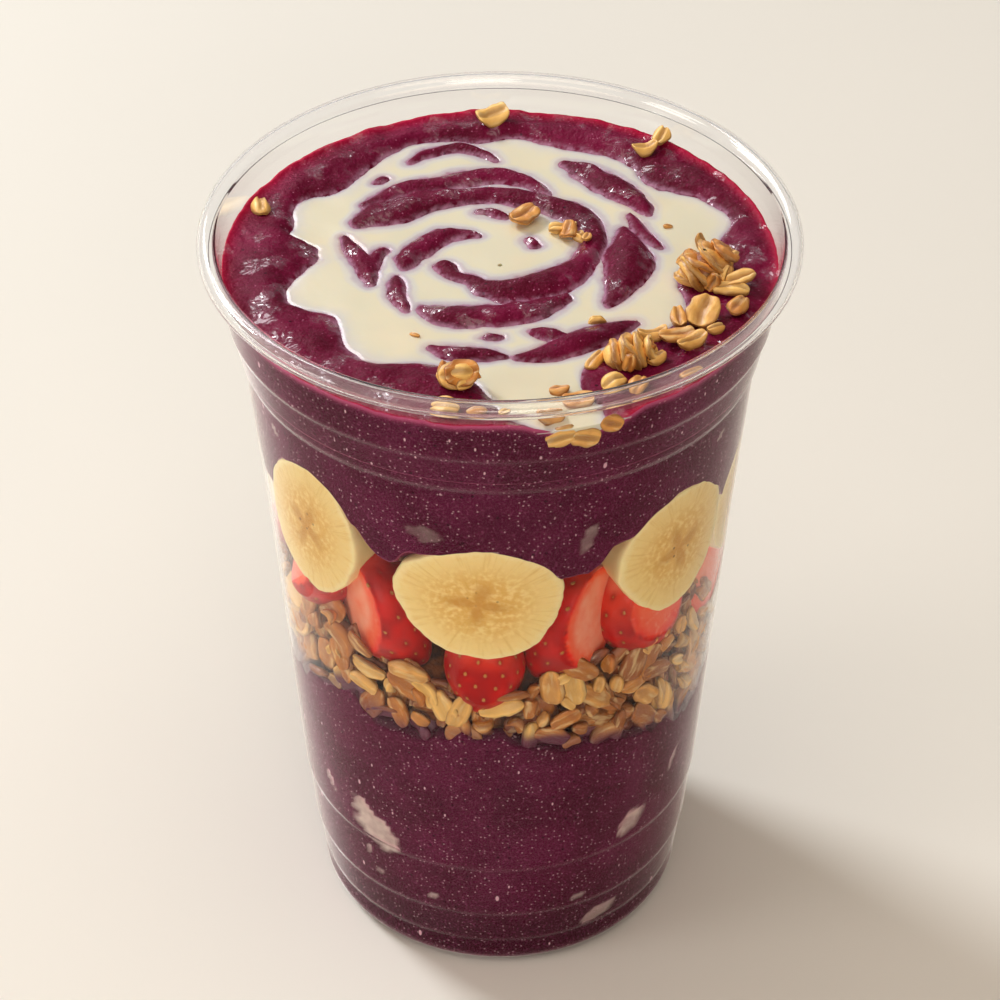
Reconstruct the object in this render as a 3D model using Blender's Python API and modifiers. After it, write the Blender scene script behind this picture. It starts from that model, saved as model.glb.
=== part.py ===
"""Layered acai cup, in metres, +Z up, origin at the middle of the foot.

A tall clear thermoformed cup holds, from the bottom up: acai puree, a layer of granola,
a ring of strawberry pieces, a ring of banana slices pressed to the wall, and more acai.
The top is a swirled relief of puree with condensed milk lying in its hollows, and
clusters of granola on it. Angles run counter-clockwise from +X, so -90 is the front.
"""
import math
import random

import bmesh
import bpy
from mathutils import Matrix, Vector

MM = 0.001
GAP = 0.35 * MM          # room kept between pieces that touch
LAYER_GAP = 0.6 * MM      # room between two uneven layers
SEGMENTS = 32            # sides of the cup and of the fillings

# --- cup --------------------------------------------------------------------------------
CUP_HEIGHT = 137.5 * MM
RIM_RADIUS = 49.0 * MM
LIP_RADIUS = 1.5 * MM    # rolled bead of the rim
WALL = 0.7 * MM
FOOT_RADIUS = 28.4 * MM  # outer edge of the flat foot ring
FOOT_INNER = 22.5 * MM   # inner edge of the flat foot ring
FOOT_CORNER = 4.0 * MM   # rounding between foot and wall
FOOT_RECESS = 1.2 * MM   # how far the middle of the floor is raised

# (height, outer radius) of the wall in mm, from under the lip down to the foot corner:
# two stacking ledges in the collar, a long taper, then two shallow rings and a notch
WALL_STATIONS = (
    (134.3, 46.05), (131.0, 45.55), (124.2, 44.85), (123.2, 44.3), (117.0, 43.05),
    (115.8, 42.35), (85.0, 39.7), (27.0, 35.3), (26.2, 34.95), (14.8, 33.95),
    (14.0, 33.55), (7.4, 32.8), (6.6, 32.4),
)
# (height, inner radius) of the same wall in mm; the inside keeps only the main bends
LINER_STATIONS = (
    (134.3, 45.3), (124.2, 44.0), (115.8, 41.65), (85.0, 39.0), (27.0, 34.6),
    (14.0, 32.8), (6.6, 31.7),
)

# --- fillings ---------------------------------------------------------------------------
FILL_HEIGHT = 130.5 * MM      # where the puree meets the wall
GRANOLA_LOW = 57.0 * MM       # mean height of the granola layer's underside
GRANOLA_HIGH = 73.0 * MM      # mean height of its top at the wall
GRANOLA_MIDDLE = 72.0 * MM    # its top under the core of puree
CORE_RADIUS = 26.0 * MM       # puree behind the fruit
CORE_SHOULDER = 92.0 * MM     # height where the core spreads over the fruit
UPPER_ACAI_LOW = 97.5 * MM    # mean height of the upper puree's edge on the wall
# places where the upper puree runs down the wall: (angle, extra depth mm, half width deg)
DRIPS = ((-155.0, 5.0, 6.0), (-78.0, 2.0, 9.0), (-24.0, 8.0, 6.0), (70.0, 4.0, 8.0),
         (150.0, 6.0, 7.0))

# --- fruit ------------------------------------------------------------------------------
BANANA_DIAMETER = 28.0 * MM
BANANA_THICKNESS = 9.0 * MM
BANANA_SIDES = 14
# (angle, height mm, width scale, height scale, roll deg, recess of one side mm)
BANANAS = (
    (-136.0, 97.5, 1.00, 0.92, 24.0, 3.5), (-95.0, 91.0, 1.02, 0.90, 0.0, 0.0),
    (-50.0, 95.5, 1.04, 0.90, -24.0, -3.5), (-6.0, 91.0, 0.98, 0.94, 12.0, -2.0),
    (38.0, 96.5, 1.00, 0.90, -10.0, 2.0), (83.0, 91.5, 1.02, 0.92, 14.0, 0.0),
    (128.0, 96.0, 1.00, 0.94, -18.0, -2.5), (180.0, 92.5, 1.02, 0.92, 6.0, 2.0),
)
STRAWBERRY_LENGTH = 22.0 * MM
STRAWBERRY_WIDTH = 19.0 * MM
STRAWBERRY_DEPTH = 13.0 * MM
STRAWBERRY_CUT = 3.5 * MM     # from the middle of the berry to its cut face
# (angle, height mm, size, lean deg, direction of the cut face or None)
STRAWBERRIES = (
    (-156.0, 80.0, 1.04, 30.0, None), (-126.0, 77.5, 1.12, -42.0, (-0.6, -0.7, -0.2)),
    (-96.0, 71.0, 0.84, 6.0, None), (-68.0, 79.0, 1.14, 34.0, (0.85, -0.35, -0.3)),
    (-38.0, 76.5, 1.06, -24.0, None), (-10.0, 72.5, 0.92, 36.0, (-0.5, -0.8, 0.3)),
    (20.0, 77.5, 1.08, -20.0, None), (52.0, 79.0, 1.12, 30.0, (0.7, -0.5, -0.3)),
    (83.0, 71.5, 0.86, -8.0, None), (112.0, 78.5, 1.08, 26.0, None),
    (144.0, 78.5, 1.12, -32.0, (-0.8, -0.4, -0.2)), (174.0, 73.0, 0.90, 12.0, None),
)

# --- top --------------------------------------------------------------------------------
SWIRL_X = -3.6 * MM           # centre of the swirl, a little off the cup's axis
SWIRL_Y = 1.4 * MM
MILK_LEVEL = 129.7 * MM
MILK_DEPTH = 2.1 * MM
MILK_SIDES = 48
MILK_REACH = 33.0 * MM        # mean radius of the pool about the swirl's centre
# tongues and notches of the pool: (angle, extra reach mm, half width deg)
MILK_LOBES = (
    (100.0, 4.0, 26.0), (57.0, 4.5, 20.0), (18.0, 10.0, 12.0), (-8.0, -2.0, 7.0),
    (-25.0, 3.0, 9.0), (-75.0, 16.0, 15.0), (-103.0, -4.0, 12.0), (-146.0, -4.5, 9.0),
    (-163.0, 5.0, 7.0), (176.0, -7.0, 8.0), (152.0, 2.0, 7.0),
)
# ridges of puree that stand out of the milk, about the swirl's centre:
# (first angle, last angle, first radius mm, last radius mm, half width mm)
SPIRAL = (172.0, 510.0, 5.6, 21.0, 3.1)
RIDGES = (
    (140.0, 56.0, 24.2, 24.6, 2.2), (117.0, 82.0, 32.6, 31.6, 1.8),
    (188.0, 96.0, 11.6, 9.4, 2.2), (-126.0, -52.0, 16.8, 16.4, 2.3),
    (164.0, 200.0, 22.0, 18.6, 2.8), (202.0, 226.0, 15.4, 17.4, 1.5),
    (63.0, 26.0, 32.0, 30.6, 2.7), (26.0, 8.0, 28.0, 29.8, 1.2),
    (14.0, -28.0, 24.8, 25.2, 3.8), (-78.0, -36.0, 27.6, 28.6, 2.9),
    (-108.0, -82.0, 25.4, 26.2, 1.9),
)
# broad folds of the puree outside the milk: same columns, about the cup's axis
FOLDS = (
    (172.0, 196.0, 37.6, 38.4, 3.4), (207.0, 232.0, 36.6, 36.8, 3.4),
    (244.0, 264.0, 36.2, 35.6, 2.8), (128.0, 150.0, 40.2, 40.0, 2.4),
    (-6.0, 22.0, 40.6, 41.0, 2.4), (52.0, 84.0, 40.6, 40.8, 2.2),
)
RIDGE_STAGGER = 0.05 * MM     # step between the hidden bases of neighbouring ridges
RIDGE_STEP = 20.0             # degrees of sweep between two sections of a ridge
# granola clusters on top: (x mm, y mm, diameter mm, height mm of what each lies on)
CLUSTERS = ((33.2, -4.6, 9.5, 130.9), (20.0, -27.6, 7.4, 131.1), (-6.6, -34.2, 6.2, 131.4))

COLOURS = {
    "cup": ((0.92, 0.94, 0.94), 0.08),
    "acai": ((0.115, 0.014, 0.052), 0.35),
    "milk": ((0.80, 0.72, 0.50), 0.25),
    "granola": ((0.52, 0.27, 0.08), 0.6),
    "strawberry": ((0.62, 0.03, 0.02), 0.4),
    "banana": ((0.85, 0.66, 0.34), 0.5),
}


# --- helpers ----------------------------------------------------------------------------
def clear_scene():
    for obj in list(bpy.data.objects):
        bpy.data.objects.remove(obj, do_unlink=True)


def new_collection(name):
    collection = bpy.data.collections.new(name)
    bpy.context.scene.collection.children.link(collection)
    return collection


def material(slot):
    found = bpy.data.materials.get(slot)
    if found:
        return found
    colour, roughness = COLOURS[slot]
    made = bpy.data.materials.new(slot)
    made.use_nodes = True
    shader = made.node_tree.nodes["Principled BSDF"]
    shader.inputs["Base Color"].default_value = (*colour, 1.0)
    shader.inputs["Roughness"].default_value = roughness
    shader.inputs["Metallic"].default_value = 0.0
    return made


def object_from(bm, name, collection, slot=None):
    """Turn a bmesh into an object: a part if it has a slot, otherwise a hidden cutter."""
    mesh = bpy.data.meshes.new(name)
    bmesh.ops.recalc_face_normals(bm, faces=bm.faces)
    bm.to_mesh(mesh)
    bm.free()
    obj = bpy.data.objects.new(name, mesh)
    collection.objects.link(obj)
    if slot:
        mesh.materials.append(material(slot))
        mesh.shade_smooth()
        mesh.set_sharp_from_angle(angle=math.radians(40.0))
    else:
        obj.hide_render = True
        obj.display_type = "WIRE"
    return obj


def boolean(target, tools, operation):
    """Cut or join a target with every mesh of a collection."""
    modifier = target.modifiers.new(operation.lower(), "BOOLEAN")
    modifier.operation = operation
    modifier.operand_type = "COLLECTION"
    modifier.collection = tools
    modifier.solver = "EXACT"


def stations_radius(stations, height):
    """Radius at a height on a polyline of (height mm, radius mm), listed downward."""
    level = height / MM
    if level >= stations[0][0]:
        return stations[0][1] * MM
    for (high, upper), (low, lower) in zip(stations, stations[1:]):
        if level >= low:
            return (lower + (upper - lower) * (level - low) / (high - low)) * MM
    return stations[-1][1] * MM


def fill_radius(height):
    """How far the contents reach at a height: the inside of the wall, less the gap."""
    return stations_radius(LINER_STATIONS, height) - GAP


def polar(radius, angle, height=0.0):
    turn = math.radians(angle)
    return Vector((radius * math.cos(turn), radius * math.sin(turn), height))


def angle_between(first, second):
    """Signed difference of two angles, in degrees from -180 to 180."""
    return (first - second + 180.0) % 360.0 - 180.0


def bumps(angle, table):
    """Sum of rounded bumps: (angle, size mm, half width deg)."""
    return sum(size * math.exp(-(angle_between(angle, middle) / width) ** 2)
               for middle, size, width in table) * MM


def lofted(rings, bottom=None, top=None):
    """A closed solid through rings of points, from the bottom ring to the top one.

    An end is a fan to its given point or, for a flat ring, one flat face.
    """
    bm = bmesh.new()
    loops = [[bm.verts.new(point) for point in ring] for ring in rings]
    sides = len(rings[0])
    for below, above in zip(loops, loops[1:]):
        for i in range(sides):
            j = (i + 1) % sides
            bm.faces.new((below[i], below[j], above[j], above[i]))
    for loop, point in ((loops[0][::-1], bottom), (loops[-1], top)):
        if point is None:
            bm.faces.new(loop)
            continue
        middle = bm.verts.new(point)
        for i in range(sides):
            bm.faces.new((middle, loop[i], loop[(i + 1) % sides]))
    return bm


# --- cup --------------------------------------------------------------------------------
def cup_profile():
    """Half section of the cup: up the inside, over the lip, down the outside."""
    def arc(x, z, radius, start, end, steps):
        angles = [start + (end - start) * i / steps for i in range(steps + 1)]
        return [(x + radius * math.cos(math.radians(a)),
                 z + radius * math.sin(math.radians(a))) for a in angles]

    corner_x = FOOT_RADIUS
    corner_z = FOOT_CORNER
    inside = [(0.0, FOOT_RECESS + WALL),
              (FOOT_INNER - FOOT_RECESS, FOOT_RECESS + WALL),
              (FOOT_INNER, WALL)]
    inside += arc(corner_x, corner_z, FOOT_CORNER - WALL, -90.0, -8.0, 3)
    inside += [(radius * MM, height * MM) for height, radius in reversed(LINER_STATIONS)]
    lip = arc(RIM_RADIUS - LIP_RADIUS, CUP_HEIGHT - LIP_RADIUS, LIP_RADIUS,
              180.0, -90.0, 6)
    outside = [(radius * MM, height * MM) for height, radius in WALL_STATIONS]
    outside += arc(corner_x, corner_z, FOOT_CORNER, 0.0, -90.0, 3)
    outside += [(FOOT_INNER, 0.0),
                (FOOT_INNER - FOOT_RECESS, FOOT_RECESS),
                (0.0, FOOT_RECESS)]
    return inside + lip + outside


def make_cup(parts):
    mesh = bpy.data.meshes.new("cup")
    points = [(x, 0.0, z) for x, z in cup_profile()]
    mesh.from_pydata(points, [(i, i + 1) for i in range(len(points) - 1)], [])
    mesh.materials.append(material("cup"))
    cup = bpy.data.objects.new("cup", mesh)
    parts.objects.link(cup)
    screw = cup.modifiers.new("turn", "SCREW")
    screw.axis = "Z"
    screw.steps = SEGMENTS
    screw.render_steps = SEGMENTS
    screw.use_merge_vertices = True
    screw.merge_threshold = 0.00001
    screw.use_smooth_shade = True
    return cup


# --- fillings ---------------------------------------------------------------------------
def ring(radius, height):
    """Points round the cup; radius and height are numbers or functions of the angle."""
    points = []
    for i in range(SEGMENTS):
        angle = 360.0 * i / SEGMENTS
        z = height(angle) if callable(height) else height
        r = radius(z) if callable(radius) else radius
        points.append(polar(r, angle, z))
    return points


def granola_low(angle):
    """Uneven underside of the granola, lowest on the right of the front."""
    turn = math.radians(angle)
    return (GRANOLA_LOW - 3.2 * MM * math.cos(turn + 0.35)
            + 1.3 * MM * math.sin(5.0 * turn + 0.6) + 0.8 * MM * math.sin(9.0 * turn))


def granola_high(angle):
    turn = math.radians(angle)
    return (GRANOLA_HIGH - 1.0 * MM * math.cos(turn) + 1.0 * MM * math.sin(4.0 * turn)
            + 0.6 * MM * math.sin(11.0 * turn + 1.0))


def upper_acai_low(angle):
    turn = math.radians(angle)
    wave = 1.2 * MM * math.sin(7.0 * turn + 0.5)
    return UPPER_ACAI_LOW + wave - bumps(angle, DRIPS)


def surface_rise(angle):
    """Slow waves of the puree's top near the wall."""
    turn = math.radians(angle)
    return 0.35 * MM * math.sin(3.0 * turn + 0.8) + 0.2 * MM * math.sin(7.0 * turn)


def make_lower_acai(parts):
    floor = FOOT_RECESS + WALL + GAP
    corner = FOOT_RADIUS - 0.5 * MM
    rings = [
        ring(FOOT_INNER - FOOT_RECESS, floor),
        ring(corner, WALL + 2.0 * GAP),
        ring(fill_radius(0.0) - 0.9 * MM, 0.5 * FOOT_CORNER + GAP),
        ring(fill_radius, LINER_STATIONS[-1][0] * MM),
        ring(fill_radius, LINER_STATIONS[-2][0] * MM),
        ring(fill_radius, LINER_STATIONS[-3][0] * MM),
        ring(fill_radius, lambda a: granola_low(a) - LAYER_GAP),
        ring(0.6 * fill_radius(GRANOLA_LOW), lambda a: granola_low(a) - LAYER_GAP),
    ]
    bm = lofted(rings, top=(0.0, 0.0, GRANOLA_LOW - LAYER_GAP))
    return object_from(bm, "acai_bottom", parts, "acai")


def make_granola_layer(parts, berry_cutters):
    rings = [
        ring(0.6 * fill_radius(GRANOLA_LOW), granola_low),
        ring(fill_radius, granola_low),
        ring(fill_radius, granola_high),
        ring(CORE_RADIUS, GRANOLA_MIDDLE),
    ]
    layer = object_from(lofted(rings, bottom=(0.0, 0.0, GRANOLA_LOW)), "granola_layer", parts, "granola")
    boolean(layer, berry_cutters, "DIFFERENCE")
    return layer


def make_upper_acai(parts, banana_cutters, milk_bed, ridges):
    top_edge = FILL_HEIGHT
    rings = [
        ring(0.9 * CORE_RADIUS, GRANOLA_MIDDLE + 2.0 * GAP),
        ring(0.94 * CORE_RADIUS, CORE_SHOULDER - 6.0 * MM),
        ring(lambda z: fill_radius(z) - 8.0 * MM, lambda a: upper_acai_low(a) - 1.5 * MM),
        ring(fill_radius, upper_acai_low),
        ring(fill_radius, LINER_STATIONS[2][0] * MM),
        ring(fill_radius, LINER_STATIONS[1][0] * MM),
        ring(fill_radius, lambda a: top_edge + surface_rise(a)),
        ring(41.5 * MM, lambda a: top_edge - 0.2 * MM + 1.5 * surface_rise(a + 15.0)),
        ring(35.0 * MM, lambda a: top_edge + 0.3 * MM + surface_rise(2.0 * a)),
        ring(20.0 * MM, top_edge + 0.1 * MM),
    ]
    upper = object_from(lofted(rings), "acai_top", parts, "acai")
    boolean(upper, banana_cutters, "DIFFERENCE")
    boolean(upper, milk_bed, "DIFFERENCE")
    boolean(upper, ridges, "UNION")
    return upper


# --- fruit ------------------------------------------------------------------------------
def press_to_wall(bm, angle, height, outward):
    """Bend a piece made at the origin onto the inside of the wall.

    Before the call X is along the wall, Z is up and Y is depth into the cup. Points
    nearer to the wall than outward are flattened against it.
    """
    reference = fill_radius(height)
    for vert in bm.verts:
        x, y, z = vert.co
        level = height + z
        depth = max(y, outward)
        radius = fill_radius(level) - depth
        vert.co = polar(radius, angle + math.degrees(x / reference), level)


def banana_slice(angle, level, wide, tall, roll, recess, grow):
    """A thick slice: a round face on the wall, barrel sides and a smaller back."""
    radius = 0.5 * BANANA_DIAMETER
    front = -2.0 * MM if grow else 0.0
    shape = ((0.62, front), (0.97, front), (1.0, 1.2 * MM), (0.95, BANANA_THICKNESS))
    rings = []
    for scale, depth in shape:
        points = []
        for i in range(BANANA_SIDES):
            turn = 2.0 * math.pi * i / BANANA_SIDES
            uneven = 1.0 + 0.03 * math.sin(3.0 * turn + angle) + 0.015 * math.sin(5.0 * turn)
            reach = scale * radius * uneven + grow
            x = reach * wide * math.cos(turn)
            z = reach * tall * math.sin(turn)
            deeper = depth + (grow if depth == BANANA_THICKNESS else 0.0)
            points.append(Vector((x, deeper, z)))
        rings.append(points)
    back = BANANA_THICKNESS + grow
    bm = lofted(rings, (0.0, front, 0.0), (0.0, back, 0.0))
    bmesh.ops.rotate(bm, verts=bm.verts, matrix=Matrix.Rotation(math.radians(roll), 3, "Y"))
    for vert in bm.verts:
        side = vert.co.x * math.copysign(1.0, recess)
        vert.co.y += abs(recess) * MM * max(0.0, side / radius) ** 2
    press_to_wall(bm, angle, level * MM, front)
    return bm


def strawberry_piece(angle, level, size, lean, cut, grow):
    """A rounded cone, leaned over, sliced where it has a cut face, pressed to the wall."""
    bm = bmesh.new()
    bmesh.ops.create_uvsphere(bm, u_segments=8, v_segments=6, radius=0.5)
    for vert in bm.verts:
        up = vert.co.z * 2.0
        narrow = 1.0 - 0.22 * (1.0 - up) ** 2 * 0.5
        vert.co.x *= STRAWBERRY_WIDTH * size * narrow
        vert.co.y *= STRAWBERRY_DEPTH * size * narrow
        vert.co.z *= STRAWBERRY_LENGTH * size
    bmesh.ops.rotate(bm, verts=bm.verts, matrix=Matrix.Rotation(math.radians(lean), 3, "Y"))
    if grow:
        half = 0.5 * STRAWBERRY_DEPTH * size
        bmesh.ops.scale(bm, verts=bm.verts, vec=Vector.Fill(3, 1.0 + grow / half))
    if cut:
        normal = Vector(cut).normalized()
        result = bmesh.ops.bisect_plane(
            bm, geom=bm.verts[:] + bm.edges[:] + bm.faces[:],
            plane_co=normal * (STRAWBERRY_CUT + grow), plane_no=normal, clear_outer=True)
        edges = [item for item in result["geom_cut"] if isinstance(item, bmesh.types.BMEdge)]
        bmesh.ops.holes_fill(bm, edges=edges, sides=0)
    bmesh.ops.translate(bm, verts=bm.verts, vec=(0.0, 5.0 * MM * size, 0.0))
    press_to_wall(bm, angle, level * MM, -2.0 * MM if grow else 0.0)
    return bm


def make_fruit(parts, banana_cutters, berry_cutters):
    for number, row in enumerate(BANANAS, start=1):
        name = f"banana_slice_{number}"
        object_from(banana_slice(*row, 0.0), name, parts, "banana")
        object_from(banana_slice(*row, 1.1 * GAP), name + "_cutter", banana_cutters)
    for number, row in enumerate(STRAWBERRIES, start=1):
        name = f"strawberry_{number}"
        berry = object_from(strawberry_piece(*row, 0.0), name, parts, "strawberry")
        boolean(berry, banana_cutters, "DIFFERENCE")
        object_from(strawberry_piece(*row, 1.8 * GAP), name + "_cutter", berry_cutters)


# --- top --------------------------------------------------------------------------------
def milk_reach(angle):
    """Reach of the pool from the swirl's centre, with its tongues and notches."""
    turn = math.radians(angle)
    return MILK_REACH + bumps(angle, MILK_LOBES) + 0.7 * MM * math.sin(11.0 * turn)


def milk_ring(height, inset, limit):
    """One level of the pool's edge, kept within limit of the cup's axis."""
    points = []
    for i in range(MILK_SIDES):
        angle = 360.0 * i / MILK_SIDES
        point = polar(milk_reach(angle) - inset, angle)
        x = point.x + SWIRL_X
        y = point.y + SWIRL_Y
        far = math.hypot(x, y)
        pull = min(1.0, limit / far)
        points.append(Vector((x * pull, y * pull, height)))
    return points


def make_milk(parts, bed, ridge_cutters):
    limit = fill_radius(MILK_LEVEL - MILK_DEPTH)
    floor = MILK_LEVEL - MILK_DEPTH
    rings = [milk_ring(floor, 0.8 * MM, limit),
             milk_ring(MILK_LEVEL - 0.5 * MM, 0.0, limit),
             milk_ring(MILK_LEVEL, 0.9 * MM, limit)]
    milk = object_from(lofted(rings), "condensed_milk", parts, "milk")
    boolean(milk, ridge_cutters, "DIFFERENCE")
    rings = [milk_ring(floor - GAP, 0.8 * MM - GAP, limit + 3.0 * MM),
             milk_ring(MILK_LEVEL - 0.5 * MM, -GAP, limit + 3.0 * MM),
             milk_ring(CUP_HEIGHT, -GAP, limit + 3.0 * MM)]
    object_from(lofted(rings), "milk_bed", bed)


def ridge_path(first, last, r_first, r_last, width, x, y, smooth):
    """Centre line of a ridge as (point, across, half width), tapered to its ends."""
    steps = max(3, round(abs(last - first) / RIDGE_STEP))
    path = []
    for i in range(steps + 1):
        t = i / steps
        ease = t * t * (3.0 - 2.0 * t) if smooth else t
        angle = first + (last - first) * t
        centre = polar((r_first + (r_last - r_first) * ease) * MM, angle)
        taper = 0.35 + 0.65 * math.sin(math.pi * min(max(t, 0.0), 1.0)) ** 0.5
        across = polar(1.0, angle)
        path.append((centre + Vector((x, y, 0.0)), across, width * MM * taper))
    return path


def ridge(path, base, level, grow):
    """A swept hump: steep sides, rounded crown, closed at both ends."""
    bm = bmesh.new()
    sections = []
    for centre, across, width in path:
        half = width + grow
        crown = level + 0.3 * MM + 0.38 * width + grow
        shape = ((-half, base), (-half, level - 0.3 * MM), (-0.5 * half, crown),
                 (0.5 * half, crown), (half, level - 0.3 * MM), (half, base))
        sections.append([bm.verts.new(centre + across * side + Vector((0.0, 0.0, z)))
                         for side, z in shape])
    for one, two in zip(sections, sections[1:]):
        for i in range(len(one)):
            j = (i + 1) % len(one)
            bm.faces.new((one[i], one[j], two[j], two[i]))
    bm.faces.new(sections[0])
    bm.faces.new(reversed(sections[-1]))
    return bm


def make_ridges(ridges, ridge_cutters):
    """The spiral and the smaller ridges in the milk, then the folds outside it."""
    base = MILK_LEVEL - MILK_DEPTH - 1.2 * MM
    swirls = [ridge_path(*SPIRAL, SWIRL_X, SWIRL_Y, True)]
    swirls += [ridge_path(*row, SWIRL_X, SWIRL_Y, False) for row in RIDGES]
    for number, path in enumerate(swirls, start=1):
        bottom = base - RIDGE_STAGGER * number
        object_from(ridge(path, bottom, MILK_LEVEL, 0.0), f"ridge_{number}", ridges)
        bm = ridge(path, bottom - GAP, MILK_LEVEL, GAP)
        object_from(bm, f"ridge_{number}_cutter", ridge_cutters)
    for number, row in enumerate(FOLDS, start=1):
        path = ridge_path(*row, 0.0, 0.0, False)
        bottom = base + RIDGE_STAGGER * number
        level = FILL_HEIGHT - 0.2 * MM
        object_from(ridge(path, bottom, level, 0.0), f"fold_{number}", ridges)
        bm = ridge(path, bottom - GAP, level, GAP)
        object_from(bm, f"fold_{number}_cutter", ridge_cutters)


def make_clusters(parts):
    """Lumps of baked oats, flat underneath, standing just clear of the surface."""
    for number, (x, y, diameter, under) in enumerate(CLUSTERS, start=1):
        rng = random.Random(number)
        bm = bmesh.new()
        bmesh.ops.create_icosphere(bm, subdivisions=2, radius=0.5 * diameter * MM)
        for vert in bm.verts:
            vert.co *= rng.uniform(0.84, 1.1)
            vert.co.z *= 0.72
            vert.co.z = max(vert.co.z, -0.22 * diameter * MM)
        lift = 0.22 * diameter * MM
        bmesh.ops.translate(bm, verts=bm.verts, vec=(x * MM, y * MM, under * MM + GAP + lift))
        object_from(bm, f"granola_cluster_{number}", parts, "granola")


def main():
    clear_scene()
    parts = new_collection("acai_cup")
    cutters = {name: new_collection(name + "_cutters")
               for name in ("banana", "strawberry", "ridge", "milk_bed", "ridge_clear")}
    make_cup(parts)
    make_fruit(parts, cutters["banana"], cutters["strawberry"])
    make_ridges(cutters["ridge"], cutters["ridge_clear"])
    make_milk(parts, cutters["milk_bed"], cutters["ridge_clear"])
    make_lower_acai(parts)
    make_granola_layer(parts, cutters["strawberry"])
    make_upper_acai(parts, cutters["banana"], cutters["milk_bed"], cutters["ridge"])
    make_clusters(parts)


main()
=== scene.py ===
"""Layered acai cup, dressed: the clear cup, puree, granola, fruit and condensed milk.

Lengths here are in millimetres and are scaled to metres as each mesh is made. Angles are
in degrees, counter-clockwise from +X seen from above, so -90 faces the camera. The sizes
that the looks share with the CAD model carry the same names as in part.py, and the same
values but for WALL, CORE_RADIUS and CORE_SHOULDER, which are a little smaller here.
"""
from math import copysign, cos, hypot, pi, radians, sin, sqrt

import bpy
import numpy as np
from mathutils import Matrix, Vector


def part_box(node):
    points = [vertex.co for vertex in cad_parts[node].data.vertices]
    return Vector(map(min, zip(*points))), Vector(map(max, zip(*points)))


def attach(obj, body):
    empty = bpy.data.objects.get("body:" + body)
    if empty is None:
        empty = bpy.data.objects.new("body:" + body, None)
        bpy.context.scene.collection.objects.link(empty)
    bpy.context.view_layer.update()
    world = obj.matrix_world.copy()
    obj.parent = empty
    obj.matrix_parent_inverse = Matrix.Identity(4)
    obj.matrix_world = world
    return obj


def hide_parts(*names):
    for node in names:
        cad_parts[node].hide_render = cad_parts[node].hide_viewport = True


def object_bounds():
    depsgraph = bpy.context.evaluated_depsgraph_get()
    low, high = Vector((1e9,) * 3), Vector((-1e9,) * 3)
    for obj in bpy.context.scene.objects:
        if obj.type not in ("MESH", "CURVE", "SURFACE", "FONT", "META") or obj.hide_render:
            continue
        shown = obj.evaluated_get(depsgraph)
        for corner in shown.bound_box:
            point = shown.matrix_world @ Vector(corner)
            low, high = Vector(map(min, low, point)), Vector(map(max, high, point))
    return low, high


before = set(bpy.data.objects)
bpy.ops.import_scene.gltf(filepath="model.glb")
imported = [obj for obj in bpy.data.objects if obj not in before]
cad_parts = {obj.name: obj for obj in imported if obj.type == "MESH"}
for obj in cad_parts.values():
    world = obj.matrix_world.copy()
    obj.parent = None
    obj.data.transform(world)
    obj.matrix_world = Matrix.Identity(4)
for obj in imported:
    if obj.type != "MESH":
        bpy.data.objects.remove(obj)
cad_low, cad_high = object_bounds()

MM = 0.001
RIM_RADIUS = cad_high.x / MM
CUP_HEIGHT = cad_high.z / MM

# --- cup ---
WALL = 0.5                # thickness of the plastic
FOOT_RADIUS = 28.4
FOOT_INNER = 22.5
FOOT_CORNER = 4.0
FOOT_RECESS = 1.2
LEDGE_SOFTNESS = 0.33     # rounding of the stacking ledges
# (height, outer radius) of the wall, from the top down
WALL_STATIONS = (
    (134.3, 46.05), (131, 45.55), (124.2, 44.85), (123.2, 44.3), (117, 43.05),
    (115.8, 42.35), (85, 39.7), (27, 35.3), (26.2, 34.95), (14.8, 33.95),
    (14, 33.55), (7.4, 32.8), (6.6, 32.4),
)
# How far each filling reaches into the plastic. What lies in front at the wall, where
# two of them meet, reaches a little further.
BITE = {"lower": 0.12, "oat": 0.14, "berry": 0.16, "banana": 0.18, "upper": 0.20,
        "milk": 0.21}

# --- fillings ---
FILL_HEIGHT = 130.5
GRANOLA_LOW = 57.0        # underside and top of the granola in the middle of the cup
GRANOLA_MIDDLE = 72.0
CORE_RADIUS = 25.5        # puree behind the fruit
CORE_SHOULDER = 88.0
SEAM = 118.3              # level where the two meshes of the upper puree meet
# edge between lower puree and granola on the wall: (angle, height)
LOWER_EDGE = (
    (-159, 56.5), (-145, 59), (-132, 61.5), (-117, 58), (-103, 59), (-85, 58),
    (-69, 56), (-53, 52.5), (-40, 51), (-25, 50), (-16, 53), (5, 55.5),
    (30, 57), (60, 58.5), (90, 57), (120, 56), (150, 57.5), (180, 56),
)
# top of the granola on the wall, between and behind the fruit
GRANOLA_EDGE = (
    (-160, 74.5), (-137, 75.5), (-115, 71.5), (-94, 69), (-75, 72), (-59, 73.5),
    (-35, 74.5), (-10, 73), (30, 73), (75, 71), (120, 74), (160, 72.5),
)
# lower edge of the upper puree where no banana holds it up: (angle, height)
UPPER_EDGE = (
    (-158, 97), (-153, 95), (-146, 98), (-127, 102), (-121, 98.6), (-116, 97.6),
    (-112, 100), (-108, 101), (-95, 101), (-84, 99.5), (-78, 95.8), (-72, 95.8),
    (-67, 96.6), (-60, 101),
    (-30, 99.6), (-24, 90), (-18, 97), (0, 99), (20, 97.5), (60, 98.5),
    (68, 93.5), (76, 98), (105, 99), (145, 98), (151, 92), (157, 98),
    (175, 98.5),
)
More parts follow.
